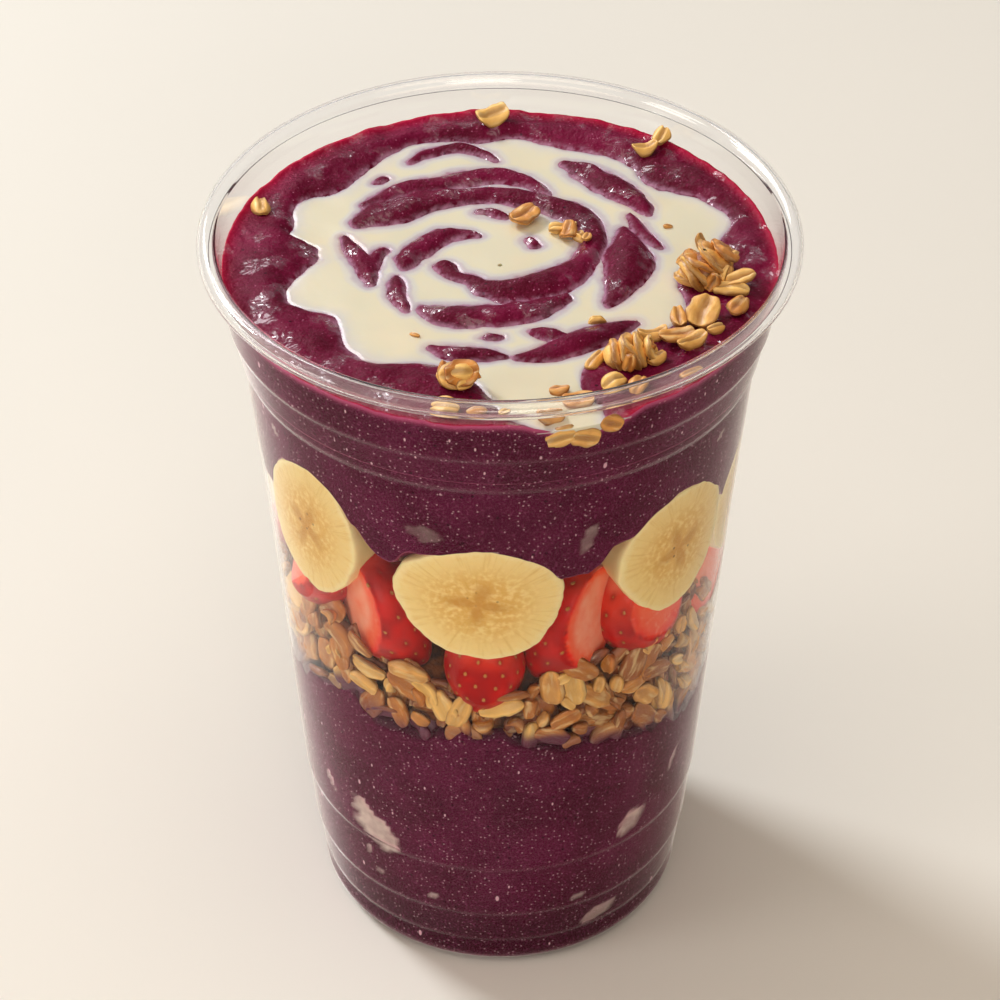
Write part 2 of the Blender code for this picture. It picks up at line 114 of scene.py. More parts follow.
# pale pockets of air between puree and wall:
# (angle, height, half length, half width, slope deg, paleness)
POCKETS_LOWER = (
    (-129, 30, 6.4, 3.5, -56, 1), (-49, 30.6, 3.2, 2.7, 38, 0.9),
    (-147, 34.5, 2.6, 0.7, -66, 0.8), (-58, 8.9, 4.4, 1.8, 22, 0.55),
    (-132.5, 23.2, 1.1, 0.6, -60, 0.9), (-128, 18, 1.2, 0.7, -30, 0.5),
    (-33, 39, 2.6, 0.7, 66, 0.5), (-110, 17, 1, 0.5, -10, 0.7),
    (-66, 16, 1.4, 0.6, 10, 0.5), (14, 26, 4.6, 2, 50, 0.9),
    (62, 38, 3.2, 1.7, -48, 0.8), (118, 22, 5.2, 1.9, 58, 0.9),
    (160, 41, 3, 1.4, -40, 0.8), (90, 12, 3.6, 1.6, 12, 0.6),
    (-8, 15, 1.6, 0.8, 30, 0.7), (40, 46, 1.4, 0.7, 10, 0.7),
)
POCKETS_UPPER = (
    (-107, 105.5, 3.6, 1.8, -12, 0.22), (-70, 103.6, 3.2, 1.2, 72, 0.3),
    (-92, 102.5, 1, 0.5, 20, 0.35), (24, 106, 3, 1.3, 30, 0.4),
    (110, 104, 2.8, 1.2, -50, 0.35), (172, 107, 3.4, 1.2, 12, 0.35),
    (-150, 112, 1.2, 0.6, -50, 0.5), (-32, 112, 1.2, 0.5, 40, 0.5),
)

# --- fruit ---
BANANA_DIAMETER = 28.0
BANANA_THICKNESS = 9.0
# (angle, height, width scale, height scale, roll, recess of one side, sideways skew)
BANANAS = (
    (-141.5, 95.7, 0.8, 1.03, 20, 0, 0), (-95, 91, 1.01, 0.88, 0, 0, 0),
    (-43.5, 93.2, 0.86, 0.95, -24, 0, 0), (-8, 91, 0.94, 0.94, 12, 3, 1.2),
    (36, 96.5, 0.9, 0.92, -10, 3.5, 1.5), (83, 91.5, 1, 0.9, 14, 0, 0),
    (130, 96, 0.88, 0.94, -18, -3.5, -1.5), (180, 92.5, 0.98, 0.92, 6, 2, 0.6),
)
STRAWBERRY_LENGTH = 22.0
STRAWBERRY_WIDTH = 19.0
STRAWBERRY_DEPTH = 13.0
# (angle, height, size, lean, direction of the cut face, its distance from the middle)
STRAWBERRIES = (
    (-152, 80.5, 1.04, 30, (-0.3, -0.9, 0.3), 4),
    (-127, 79, 1.2, -50, (-0.34, -0.92, 0.05), 3.8),
    (-94.5, 71.5, 0.88, 4, (0.3, 0.2, 0.9), 7),
    (-69, 79.5, 1.14, 38, (0.48, -0.86, 0.1), 3.6),
    (-46, 77.5, 1.08, -24, (0.05, -1, 0.15), 4.8),
    (-20, 74.5, 0.96, 36, (-0.5, -0.8, 0.3), 3.5),
    (18, 77.5, 1.08, -20, (0.1, 0.2, 0.95), 8.5),
    (52, 79, 1.12, 30, (0.7, -0.5, -0.3), 4),
    (83, 71.5, 0.86, -8, (-0.2, 0.1, 0.95), 7.5),
    (112, 78.5, 1.08, 26, (-0.45, -0.8, 0.35), 4.5),
    (144, 78.5, 1.12, -32, (-0.8, -0.4, -0.2), 4),
    (176, 73, 0.9, 12, (0.3, 0.1, 0.95), 7.5),
)

# --- top ---
SWIRL = np.array((-3.6, 1.4))
MILK_LEVEL = 129.7
MILK_DEPTH = 2.1
PUREE_RISE = 0.95         # how far the puree stands over the milk beside the pool
# ridges of puree in the milk, about the swirl's centre: rows of (angle, radius, half width)
RIDGES = (
    ((195, 5.6, 1.6), (256, 5.6, 1.5), (278, 8, 2.2), (307, 11, 3.2), (329, 13.5, 3.3),
     (348, 16, 2.6), (363, 18, 2), (379, 20.5, 2), (392, 20.8, 2.2), (409, 20.7, 2.6),
     (425, 20.2, 2.4), (440, 20, 2.2), (454, 19.7, 2.2), (469, 19.7, 2.6),
     (485, 20.2, 3), (498, 21, 3), (511, 22, 1.6)),
    ((-122, 16.2, 1.2), (-112, 16.2, 2.4), (-90, 15.4, 2.6), (-62, 16.1, 2.4),
     (-38, 17.6, 1)),
    ((140, 24.6, .8), (128, 24.3, 1.6), (112, 23.8, 1.9), (98, 24.6, 2),
     (84, 25.6, 1.9), (72, 25.4, 1.5), (60, 23.8, .8)),
    ((111, 31.5, .6), (104, 33.4, 1.2), (96, 34, 1.5), (90, 32.6, 1.3), (84, 30.6, .6)),
    ((186, 11.8, .8), (175, 11.4, 2), (160, 10.6, 2.3), (145, 10.2, 2.2),
     (125, 10, 1.8), (108, 8.8, 1.2), (96, 7.8, .5)),
    ((88, 14.8, .5), (79, 14.6, 1), (71, 14.2, .5)),
    ((27, 10.1, 1), (36, 10.1, 1)),
    ((165, 22.3, .8), (172, 20.8, 1.6), (182, 19.4, 2), (192, 18.6, 1.8),
     (200, 18.2, .7)),
    ((168, 16, .7), (178, 17.2, 1.3), (188, 18.2, 1.5)),
    ((198, 13.6, .5), (208, 14.6, 1.3), (222, 16.6, 1.2), (230, 18.2, .6)),
    ((63, 32.2, 1), (56, 32.4, 2.2), (48, 31.8, 2.6), (38, 31.2, 2.4), (30, 30.9, 1.6),
     (26, 30.9, .6)),
    ((27, 27.8, .5), (20, 28.4, .9), (12, 29.8, .8), (8, 30.6, .4)),
    ((20, 26, 1), (12, 25.6, 2.6), (2, 24.8, 3.9), (-8, 24.6, 3.4), (-18, 24.6, 2.2),
     (-27, 24.6, 1.3), (-31, 24.6, .5)),
    ((-77, 27.6, .8), (-68, 27.4, 2.2), (-56, 27.4, 2.9), (-46, 28.4, 2.4),
     (-38, 29.6, 1.2), (-35, 30.2, .5)),
    ((-66, 21.4, .7), (-61, 22.8, 1.6), (-57, 24.6, .8)),
    ((-107, 25, .6), (-98, 25.2, 1.7), (-88, 26, 1.6), (-81, 27, .6)),
    ((-87, 21.2, .4), (-84, 21.2, .9), (-80, 21.4, .4)),
    ((124, 28.8, 0.9), (126, 28.8, 0.9)),
)
# outline of the milk about the swirl's centre: (angle, radius)
POOL = (
    (-178, 26.2), (-167, 31.6), (-159, 32.4), (-152, 30), (-145, 27.8), (-137, 29.3),
    (-130, 31.1), (-119, 32.3), (-106, 29.3), (-97, 29.8), (-90, 33.5), (-86, 38),
    (-82, 44), (-72, 48), (-66, 46), (-64, 38), (-60, 34.4), (-53, 32.8), (-44, 33.1),
    (-34, 35.2), (-23, 36.1), (-16, 34), (-9, 32.1), (-3, 34.2), (2, 36.6), (6, 39.5),
    (14, 43.4), (25, 41.8), (32, 38.1), (39, 36.2), (51, 38.4), (60, 37.6), (68, 36.6),
    (80, 37.7), (89, 35.7), (100, 37), (109, 36.5), (118, 34), (127, 32.2), (139, 31.1),
    (149, 34.6), (157, 33.6), (163, 31.8), (167, 31.5), (171, 26.6), (176, 26),
)
# broad folds outside the milk, about the cup's axis: (rows of (angle, radius), half width)
FOLDS = (
    (((150, 40.6), (128, 40.4), (105, 40.4)), 2.2), (((100, 41), (80, 40.8), (60, 40.5)), 2.2),
    (((40, 40.6), (20, 41), (0, 41.3)), 2.4), (((-150, 38), (-135, 38), (-120, 38)), 3.2),
    (((165, 38.4), (182, 38), (200, 38.5)), 3.5), (((-125, 36.4), (-112, 36), (-100, 36)), 3),
    (((-48, 40.5), (-30, 40.8), (-16, 41)), 2.4),
)
# granola clusters that stand for CAD nodes: (x, y, diameter, way its flakes are stacked)
CLUSTERS = ((33.2, -4.6, 9.5, (0.66, 0.3, 0.6)), (20, -27.6, 7.4, (0.95, 0.1, 0.3)),
            (-6.6, -34.2, 6.2, (0.3, -0.5, 0.8)))
# loose oats on top: (x, y, length, width, direction deg, lift)
LOOSE_OATS = (
    (-1.4, 41.9, 6.4, 5, 30, 0.4), (-39.8, 15.8, 5.4, 3.8, 100, 0.2),
    (24.6, 32.4, 4.8, 3.4, 20, 0.3), (27.6, 35, 4.6, 3.4, 60, 0.6),
    (4, 13.1, 6.6, 4.8, 50, 0.3), (9.6, 9.6, 3.6, 2.8, 10, 0.2),
    (11.2, 8.2, 3.8, 3.4, 80, 0.9), (13.2, 7.6, 3.2, 2.4, 130, 0.3),
    (14.2, 6.2, 2.4, 1.8, 70, 0.2), (27.8, 11.3, 1.8, 1.2, 10, 0),
    (11.6, 11.2, 2.6, 1.1, 0, 0.1), (33.4, 4.9, 4.6, 2.8, 150, 0.1),
    (36.9, -9.9, 6.6, 3.4, 165, 0.8), (38.6, -8.2, 5.4, 3, 20, 1.2),
    (32.3, -16.3, 6.8, 6, 70, 0.8), (37.9, -14.9, 5.4, 3.8, 60, 0.7),
    (28.2, -17.6, 5, 3, 95, 0.5), (24, -21.2, 5.2, 3.2, 10, 0.3),
    (27.7, -22.5, 6.4, 3.6, 15, 0.7), (29.9, -24.4, 5.8, 3.2, 35, 0.4),
    (34, -20.6, 3.4, 2.2, 30, 0.3), (14.9, -27.3, 5, 2.8, 60, 0.3),
    (24.5, -27.9, 3.6, 2.6, 40, 0.3), (15.3, -15.7, 3.4, 1.2, 5, 0),
    (-13.5, -19.5, 2, 0.9, 150, 0), (9.2, -34.5, 3.6, 2.2, 0, 0.1),
    (17.6, -34, 4.6, 3.4, 30, 0.3), (12, -37.6, 5.6, 4.2, 10, 0.2),
    (21.4, -34.6, 4.4, 3.4, 70, 0.4), (-8.6, -40.2, 5.2, 3.6, 165, 0.2),
    (-3.6, -40.8, 3.6, 2.4, 10, 0.1), (0.6, -41.2, 2.4, 1.8, 60, 0.1),
    (29.6, -31.6, 4.6, 2.8, 35, 0.2), (7.6, -41.4, 5, 3.6, 20, 0.3),
    (9, -42.6, 5.6, 4.4, 10, -2), (12.8, -41.6, 5.2, 4.4, -15, -2.9),
    (16.6, -40.2, 4.4, 3.8, -30, -1.9),
)


# --- shapes in numbers ---
def lattice(x, y, z, seed):
    """A repeatable number from 0 to 1 for each whole-numbered point."""
    mixed = (x * 374761393 + y * 668265263 + z * 1274126177 + seed * 974634777) & 0xFFFFFFFF
    mixed = ((mixed ^ (mixed >> 13)) * 1103515245) & 0xFFFFFFFF
    mixed = ((mixed ^ (mixed >> 16)) * 668265263) & 0xFFFFFFFF
    return (mixed ^ (mixed >> 15)) / 4294967295


def noise(points, size, seed=0):
    """Smooth noise from -1 to 1 with lumps of about the given size."""
    place = np.asarray(points, float) / size
    cell = np.floor(place).astype(np.int64)
    part = place - cell
    part = part ** 3 * (part * (part * 6 - 15) + 10)
    total = np.zeros(len(place))
    for corner in range(8):
        offset = [(corner >> axis) & 1 for axis in range(3)]
        share = np.ones(len(place))
        for axis in range(3):
            along = part[:, axis]
            share *= along if offset[axis] else 1 - along
        total += share * lattice(*(cell[:, axis] + offset[axis] for axis in range(3)), seed)
    return 2 * total - 1


def fractal(points, size, seed=0, octaves=3, keep=0.5):
    """Noise with finer noise added to it."""
    return sum(keep ** i * noise(points, size / 2 ** i, seed + 17 * i)
               for i in range(octaves))


def smooth_step(value, low, high):
    t = np.clip((value - low) / (high - low), 0, 1)
    return t * t * (3 - 2 * t)


def curve(rows, per=8):
    """Rows of numbers joined by a smooth curve through all of them."""
    p = np.array(rows, float)
    p = np.vstack([2 * p[0] - p[1], p, 2 * p[-1] - p[-2]])
    t = np.linspace(0, 1, per, endpoint=False)[:, None]
    spans = [0.5 * (2 * b + (c - a) * t + (2 * a - 5 * b + 4 * c - d) * t ** 2
                    + (3 * b - a - 3 * c + d) * t ** 3)
             for a, b, c, d in zip(p, p[1:], p[2:], p[3:])]
    return np.vstack([*spans, p[-2:-1]])


def around(table, angle):
    """A value that changes round the cup, from rows of (angle, value)."""
    rows = np.array(table, float)
    rows = rows[np.argsort(rows[:, 0])]
    last, first = rows[-1] - (360, 0), rows[0] + (360, 0)
    fine = curve(np.vstack([last, rows, first]))
    return np.interp(angle, fine[:, 0], fine[:, 1], period=360)


def polar(radius, angle):
    turn = np.radians(angle)
    return np.stack([radius * np.cos(turn), radius * np.sin(turn)], -1)


def at_level(xy, level):
    """Points from rows of (x, y), at one level or each at its own."""
    return np.column_stack([xy, np.broadcast_to(level, len(xy))])


def ring(radius, angle, level):
    """Points round the axis; radius and level may change with the angle."""
    return at_level(polar(radius, angle), level)


def steps(count):
    """Even angles round the cup."""
    return np.arange(count) * 360 / count


def from_axis(points):
    return np.hypot(points[..., 0], points[..., 1])


def unit(vectors):
    """One vector, or each row of several, brought to length 1."""
    return vectors / np.linalg.norm(vectors, axis=-1, keepdims=True)


def toward(turn, rise=0):
    """Direction at a turn about the axis and a rise above the level, in radians."""
    return np.array((cos(rise) * cos(turn), cos(rise) * sin(turn), sin(rise)))


def rolled(x, y, degrees):
    """Two coordinates turned clockwise."""
    c, s = cos(radians(degrees)), sin(radians(degrees))
    return x * c + y * s, -x * s + y * c


def angle_between(first, second):
    return (first - second + 180) % 360 - 180


# --- the wall ---
LEVEL_STEP = 0.05
LEVELS = np.arange(0, CUP_HEIGHT, LEVEL_STEP)


def soft_wall():
    """Outer radius of the wall at each of LEVELS, with rounded ledges."""
    height, radius = np.array(WALL_STATIONS[::-1]).T
    reach = 30
    kernel = np.exp(-0.5 * (np.arange(-reach, reach + 1) * LEVEL_STEP / LEDGE_SOFTNESS) ** 2)
    sharp = np.pad(np.interp(LEVELS, height, radius), reach, mode="edge")
    return np.convolve(sharp, kernel / kernel.sum(), mode="valid")


WALL_CURVE = soft_wall()


def outer(height):
    return np.interp(height, LEVELS, WALL_CURVE)


def side(height, bite):
    """Radius of a filling that reaches just into the plastic."""
    return outer(height) - WALL + bite


def wall_levels(first, last, coarse=14):
    """Heights up the wall, close together at the ledges."""
    fine = np.arange(first, last, 0.2)
    bend = np.abs(outer(fine + 0.3) - 2 * outer(fine) + outer(fine - 0.3))
    kept = (bend > 0.004) | (np.arange(len(fine)) % coarse == 0)
    return fine[kept]


# --- meshes ---
def turned(rings, inward=False):
    """Points and faces of a closed solid through rings, given from the bottom up.

    Each end gets a point in its middle. With inward, the rings run the other way round.
    """
    rings = np.asarray(rings, float)
    rows, columns = rings.shape[:2]
    points = rings.reshape(-1, 3)
    index = np.arange(rows * columns).reshape(rows, columns)
    after = np.roll(index, -1, axis=1)
    quads = np.stack([index[:-1], after[:-1], after[1:], index[1:]], -1).reshape(-1, 4)
    points = np.vstack([points, rings[0].mean(0), rings[-1].mean(0)])
    low, high = len(points) - 2, len(points) - 1
    faces = quads.tolist()
    faces += [[low, int(b), int(a)] for a, b in zip(index[0], after[0])]
    faces += [[high, int(a), int(b)] for a, b in zip(index[-1], after[-1])]
    if inward:
        faces = [face[::-1] for face in faces]
    return points, faces


def piece(name, points, faces, looks, replaced=(), attributes=None, sharp=None,
          picks=None):
    """One mesh piece of the model, in place on the frame."""
    mesh = bpy.data.meshes.new(name)
    mesh.from_pydata((np.asarray(points) * MM).tolist(), [], faces)
    for key, values in (attributes or {}).items():
        values = np.asarray(values, float)
        kind, field = ("FLOAT_VECTOR", "vector") if values.ndim == 2 else ("FLOAT", "value")
        layer = mesh.attributes.new(key, kind, "POINT")
        layer.data.foreach_set(field, values.ravel())
    for look in looks:
        mesh.materials.append(look)
    if picks is not None:
        mesh.polygons.foreach_set("material_index", np.asarray(picks, np.int32))
    mesh.shade_smooth()
    if sharp:
        mesh.set_sharp_from_angle(angle=radians(sharp))
    mesh.update()
    obj = bpy.data.objects.new(name, mesh)
    bpy.context.scene.collection.objects.link(obj)
    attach(obj, "root")
    if replaced:
        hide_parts(*replaced)
    return obj


class Heap:
    """Many small meshes that are joined into one piece."""

    def __init__(self):
        self.points, self.faces, self.values, self.count = [], [], {}, 0

    def add(self, points, faces, **values):
        self.points.append(points)
        self.faces += [[i + self.count for i in face] for face in faces]
        for key, value in values.items():
            value = np.asarray(value, float)
            if value.ndim == 0:
                value = np.full(len(points), float(value))
            self.values.setdefault(key, []).append(value)
        self.count += len(points)

    def add_flake(self, shape, points, tone, stain=0):
        self.add(points, shape[1], crease=shape[2], local=shape[3], tone=tone, stain=stain)

    def make(self, name, looks, replaced=()):
        values = {key: np.concatenate(parts) for key, parts in self.values.items()}
        return piece(name, np.vstack(self.points), self.faces, looks, replaced, values)


# --- materials ---
def tint(red, green, blue):
    """A colour as it looks on a screen, 0 to 255, turned into the shader's numbers."""
    return tuple(((v / 255 + 0.055) / 1.055) ** 2.4 if v > 10.3 else v / 255 / 12.92
                 for v in (red, green, blue)) + (1,)


class Look:
    """A material made of nodes. Three numbers for a socket are a colour as in tint."""

    def __init__(self, name, **settings):
        self.material = bpy.data.materials.new(name)
        self.material.use_nodes = True
        self.tree = self.material.node_tree
        self.shader = self.tree.nodes["Principled BSDF"]
        self.where = self.add("ShaderNodeTexCoord").outputs["Object"]
        self.colour = None
        self.put(self.shader, **settings)

    def feed(self, socket, value):
        if isinstance(value, bpy.types.NodeSocket):
            self.tree.links.new(value, socket)
        elif isinstance(value, tuple) and len(value) == 3:
            socket.default_value = tint(*value)
        else:
            socket.default_value = value

    def put(self, node, **inputs):
        """Feed the node's inputs by name."""
        for key, value in inputs.items():
            self.feed(node.inputs[key.replace("_", " ")], value)
        return node

    def add(self, kind, *values, **settings):
        """A new node, with its first inputs fed in their order."""
        made = self.tree.nodes.new(kind)
        for key, value in settings.items():
            setattr(made, key, value)
        for socket, value in zip(made.inputs, values):
            self.feed(socket, value)
        return made

    def done(self, **inputs):
        self.put(self.shader, Base_Color=self.colour, **inputs)
        return self.material

    def math(self, operation, first, second=0, third=0):
        return self.add("ShaderNodeMath", first, second, third, operation=operation).outputs[0]

    def blend(self, share, first, second):
        made = self.add("ShaderNodeMix", share, data_type="RGBA")
        self.feed(made.inputs[6], first)
        self.feed(made.inputs[7], second)
        return made.outputs[2]

    def paint(self, colour, share, strength=1):
        """Lay a colour over what is painted so far."""
        if strength != 1:
            share = self.math("MULTIPLY", share, strength)
        self.colour = self.blend(share, self.colour, colour)

    def stretch(self, where, *scale):
        made = self.add("ShaderNodeMapping", where)
        made.inputs["Scale"].default_value = scale
        return made.outputs[0]

    def noise(self, size, detail=2, where=None, distortion=0):
        """Noise from 0 to 1 with lumps of the given size in mm."""
        made = self.put(self.add("ShaderNodeTexNoise"), Vector=where or self.where,
                        Scale=1 / (size * MM), Detail=detail, Distortion=distortion)
        return made.outputs["Fac"]

    def spots(self, size, radius, share, where=None):
        """Round spots in cells of the given size: 1 inside, 0 outside."""
        made = self.put(self.add("ShaderNodeTexVoronoi"), Vector=where or self.where,
                        Scale=1 / (size * MM))
        near = self.ramp(made.outputs["Distance"], radius, radius * 0.6)
        cell = self.add("ShaderNodeSeparateColor", made.outputs["Color"]).outputs[0]
        return self.math("MULTIPLY", near, self.ramp(cell, 1 - share, 1 - share + 0.02))

    def ramp(self, value, low, high, out_low=0, out_high=1):
        return self.add("ShaderNodeMapRange", value, low, high, out_low, out_high,
                        interpolation_type="SMOOTHSTEP").outputs[0]

    def attribute(self, name, output="Fac"):
        return self.add("ShaderNodeAttribute", attribute_name=name).outputs[output]

    def bump(self, height, depth, strength=1, over=None):
        """Relief of the given depth in mm."""
        made = self.put(self.add("ShaderNodeBump"), Distance=depth * MM, Strength=strength,
                        Height=height)
        if over is not None:
            self.feed(made.inputs["Normal"], over)
        return made.outputs[0]


def make_plastic(name, haze, gloss):
    """Clear plastic that lets light through to what is behind it."""
    look = Look(name, Roughness=0.03, IOR=1.15, Transmission_Weight=1, Sheen_Weight=haze,
                Sheen_Roughness=0.24, Sheen_Tint=(1, 0.97, 0.94, 1), Coat_Weight=gloss,
                Coat_Roughness=0.06)
    look.colour = (255, 255, 255)
    paths = look.add("ShaderNodeLightPath").outputs
    soft = look.math("MAXIMUM", paths["Is Shadow Ray"], paths["Is Diffuse Ray"])
    clear = look.add("ShaderNodeBsdfTransparent", (0.97, 0.965, 0.96, 1))
    mixed = look.add("ShaderNodeMixShader", soft, look.shader.outputs[0], clear.outputs[0])
    look.put(look.tree.nodes["Material Output"], Surface=mixed.outputs[0])
    return look.done(Normal=look.bump(look.noise(9, 1), 0.02))


def puree_look(name, first, second, **settings):
    """What both looks of the puree start from: clouds of two colours."""
    look = Look(name, **settings)
    look.colour = first
    look.paint(second, look.ramp(look.noise(10, 4), 0.35, 0.68))
    return look


def make_wall_puree():
    """Frozen berry puree against the plastic: fine pale ice specks and dark pulp, with painted shade
    towards the foot and a painted glow just under the top.
    """
    look = puree_look("acai_puree_wall", (66, 9, 33), (85, 17, 50), Roughness=0.6,
                      Specular_IOR_Level=0.03, Sheen_Weight=1, Sheen_Roughness=0.36,
                      Sheen_Tint=(1, 0.24, 0.44, 1))
    up = look.add("ShaderNodeSeparateXYZ", look.where).outputs[2]
    # Painted shade: darker towards the foot of the cup, where less light reaches.
    look.paint((44, 8, 20), look.ramp(up, 22 * MM, 7 * MM), 0.85)
    look.paint((156, 76, 116), look.ramp(look.noise(0.38, 2), 0.48, 0.72), 0.36)
    look.paint((30, 6, 16), look.spots(1.9, 0.17, 0.4), 0.85)
    tall = look.stretch(look.where, 1, 1, 0.45)
    fine = look.math("MULTIPLY", look.spots(0.8, 0.25, 0.5), 0.45)
    flecks = look.math("MAXIMUM", look.spots(1.8, 0.11, 0.35, tall), look.spots(3.4, 0.11, 0.3, tall))
    look.paint((226, 180, 192), look.math("MAXIMUM", fine, look.math("MULTIPLY", flecks, 0.85)))
    pale = look.blend(look.ramp(look.noise(3), 0.3, 0.7), (178, 156, 150), (214, 197, 186))
    look.paint(pale, look.attribute("pocket"))
    # Painted light: a bright pink band just under the top of the fill, as if light shone through the
    # thin puree there.
    look.paint((206, 92, 136), look.attribute("brim"))
    return look.done(Normal=look.bump(look.noise(3, 2), 0.05, 0.5))


def make_open_puree():
    """The same puree where it meets the air: wet, with grainy and with smooth patches."""
    look = puree_look("acai_puree_top", (83, 2, 31), (112, 8, 52), Specular_IOR_Level=0.07,
                      Coat_Roughness=0.1)
    look.paint((150, 40, 88), look.ramp(look.noise(0.45, 3), 0.5, 0.76), 0.4)
    look.paint((40, 4, 18), look.spots(2.2, 0.15, 0.4), 0.8)
    look.paint((206, 124, 158), look.spots(0.8, 0.22, 0.25), 0.45)
    shore = look.math("MULTIPLY", look.attribute("shore"), look.ramp(look.noise(1.4), 0.3, 0.6))
    look.paint((190, 140, 170), shore, 0.7)
    # Painted light: a crimson glow where the open puree meets the wall, as if light shone through it.
    look.paint((188, 14, 60), look.attribute("rim"))
    wet = look.ramp(look.noise(5, 4), 0.53, 0.61)
    facets = look.bump(look.noise(2.6, 1, distortion=0.8), 1.1)
    fine = look.bump(look.noise(0.5, 3), 0.16)
    return look.done(Coat_Weight=look.math("MULTIPLY", wet, 0.8), Coat_Normal=facets,
                     Roughness=look.ramp(wet, 0, 1, 0.5, 0.2),
                     Normal=look.bump(look.noise(1.8, 3, distortion=0.5), 0.45, 0.8, fine))


def make_milk_look():
    """Condensed milk: thin and purple at its edges, cream where it is deep."""
    look = Look("condensed_milk", Roughness=0.22, Specular_IOR_Level=0.5, Subsurface_Weight=0.25,
                Subsurface_Scale=0.002, Coat_Weight=0.2, Coat_Roughness=0.1)
    look.shader.inputs["Subsurface Radius"].default_value = (1, 0.7, 0.4)
    uneven = look.math("MULTIPLY_ADD", look.noise(1.6, 3), 0.5, -0.25)
    depth = look.math("ADD", look.attribute("depth"), uneven)
    look.colour = (168, 112, 144)
    look.paint((196, 184, 192), look.ramp(depth, 0, 0.3))
    look.paint((214, 210, 202), look.ramp(depth, 0.25, 0.9))
    look.paint((223, 216, 190), look.ramp(depth, 0.8, 1.9))
    look.paint((238, 220, 184), look.ramp(look.noise(13, 2), 0.45, 0.75), 0.4)
    return look.done(Normal=look.bump(look.noise(3, 2), 0.05, 0.5))


def make_banana_look():
    """Cream flesh with a four-armed core, fine rays, a few dark seeds and a paler rim."""
    look = Look("banana", Roughness=0.42, Specular_IOR_Level=0.4, Subsurface_Weight=0.15,
                Subsurface_Scale=0.0015)
    face = look.attribute("face", "Vector")
    x, y, depth = look.add("ShaderNodeSeparateXYZ", face).outputs
    far = look.math("SQRT", look.math("ADD", look.math("MULTIPLY", x, x),
                                      look.math("MULTIPLY", y, y)))
    far = look.math("MULTIPLY_ADD", look.noise(2.4, 3), 0.12, look.math("SUBTRACT", far, 0.06))
    turn = look.math("ARCTAN2", y, x)
    bent = look.math("MULTIPLY_ADD", look.noise(3.5, 3), 3, -1)
    lobes = look.math("COSINE", look.math("ADD", look.math("MULTIPLY", turn, 4), bent))
    star = look.math("MULTIPLY_ADD", lobes, 0.13, 0.24)
    look.colour = (230, 180, 92)
    look.paint((248, 218, 146), look.ramp(far, 0.35, 0.95))
    look.paint((246, 212, 136), look.ramp(look.noise(0.9, 3), 0.4, 0.7))
    look.paint((204, 142, 50), look.ramp(look.math("SUBTRACT", far, star), 0.15, -0.15), 0.8)
    rays = look.add("ShaderNodeCombineXYZ", turn, look.math("MULTIPLY", far, 0.1)).outputs[0]
    look.paint((214, 160, 70), look.ramp(look.noise(60, 3, rays), 0.5, 0.75, 0, 0.35))
    look.paint((252, 232, 176), look.ramp(far, 0.86, 0.97), 0.6)
    seeds = look.math("MULTIPLY", look.spots(1.2, 0.26, 0.5), look.ramp(far, 0.3, 0.16))
    look.paint((104, 60, 24), seeds, 0.8)
    look.paint((248, 222, 152), look.ramp(depth, 0.06, 0.2), 0.5)
    return look.done(Normal=look.bump(look.noise(0.8, 3), 0.08, 0.7))


def make_berry_look():
    """Red skin, paler towards the stalk, and a cut face that pales towards its middle."""
    look = Look("strawberry", Roughness=0.32, Specular_IOR_Level=0.15, Subsurface_Weight=0.1,
                Subsurface_Scale=0.0015)
    uneven = look.math("MULTIPLY_ADD", look.noise(2.5, 3), 0.5, -0.25)
    inner = look.math("ADD", look.attribute("core"), uneven)
    look.colour = (240, 34, 18)
    look.paint((250, 98, 58), look.ramp(inner, 1.1, 0.7))
    look.paint((252, 160, 128), look.ramp(inner, 0.6, 0.05))
    look.paint((252, 186, 158), look.ramp(look.noise(0.8, 4), 0.5, 0.75), 0.25)
    flesh = look.colour
    look.colour = (164, 4, 8)
    look.paint((212, 16, 12), look.ramp(look.noise(5, 3), 0.3, 0.7))
    top = look.attribute("along")
    look.paint((226, 62, 40), look.ramp(top, 0.3, 0.9))
    look.paint((246, 150, 120), look.ramp(top, 0.85, 1))
    # Painted shade: the skin is darker red in the seed pits.
    look.paint((120, 4, 6), look.attribute("pit"))
    look.paint(flesh, look.attribute("cut"))
    return look.done(Normal=look.bump(look.noise(1.1, 3), 0.08, 0.6))


def make_seed_look():
    look = Look("strawberry_seed", Roughness=0.4)
    look.colour = look.blend(look.noise(1.5, 2), (150, 84, 20), (206, 140, 50))
    return look.done()


def make_granola_look():
    """Toasted oats: each flake has its own tone, a dark crease and fine pale fibres."""
    look = Look("toasted_oats", Roughness=0.5, Specular_IOR_Level=0.45, Coat_Weight=0.15,
                Coat_Roughness=0.25)
    tone = look.attribute("tone")
    look.colour = (118, 54, 14)
    look.paint((216, 136, 48), look.ramp(tone, 0, 0.6))
    look.paint((255, 204, 112), look.ramp(tone, 0.5, 1))
    baked = look.ramp(look.noise(2.4, 3), 0.42, 0.7)
    look.paint((170, 84, 24), look.math("MULTIPLY", baked, look.ramp(tone, 0.5, 1, 0.5, 0.15)))
    local = look.stretch(look.attribute("local", "Vector"), 0.22, 1, 1)
    streaks = look.noise(0.9, 4, local)
    look.paint((252, 222, 158), look.ramp(streaks, 0.5, 0.7, 0, 0.6))
    look.paint((104, 46, 10), look.math("POWER", look.attribute("crease"), 0.6), 0.95)
    look.paint((92, 16, 50), look.ramp(look.attribute("stain"), 0, 0.8))
    return look.done(Normal=look.bump(look.noise(0.35, 3), 0.05, 0.7, look.bump(streaks, 0.22)))


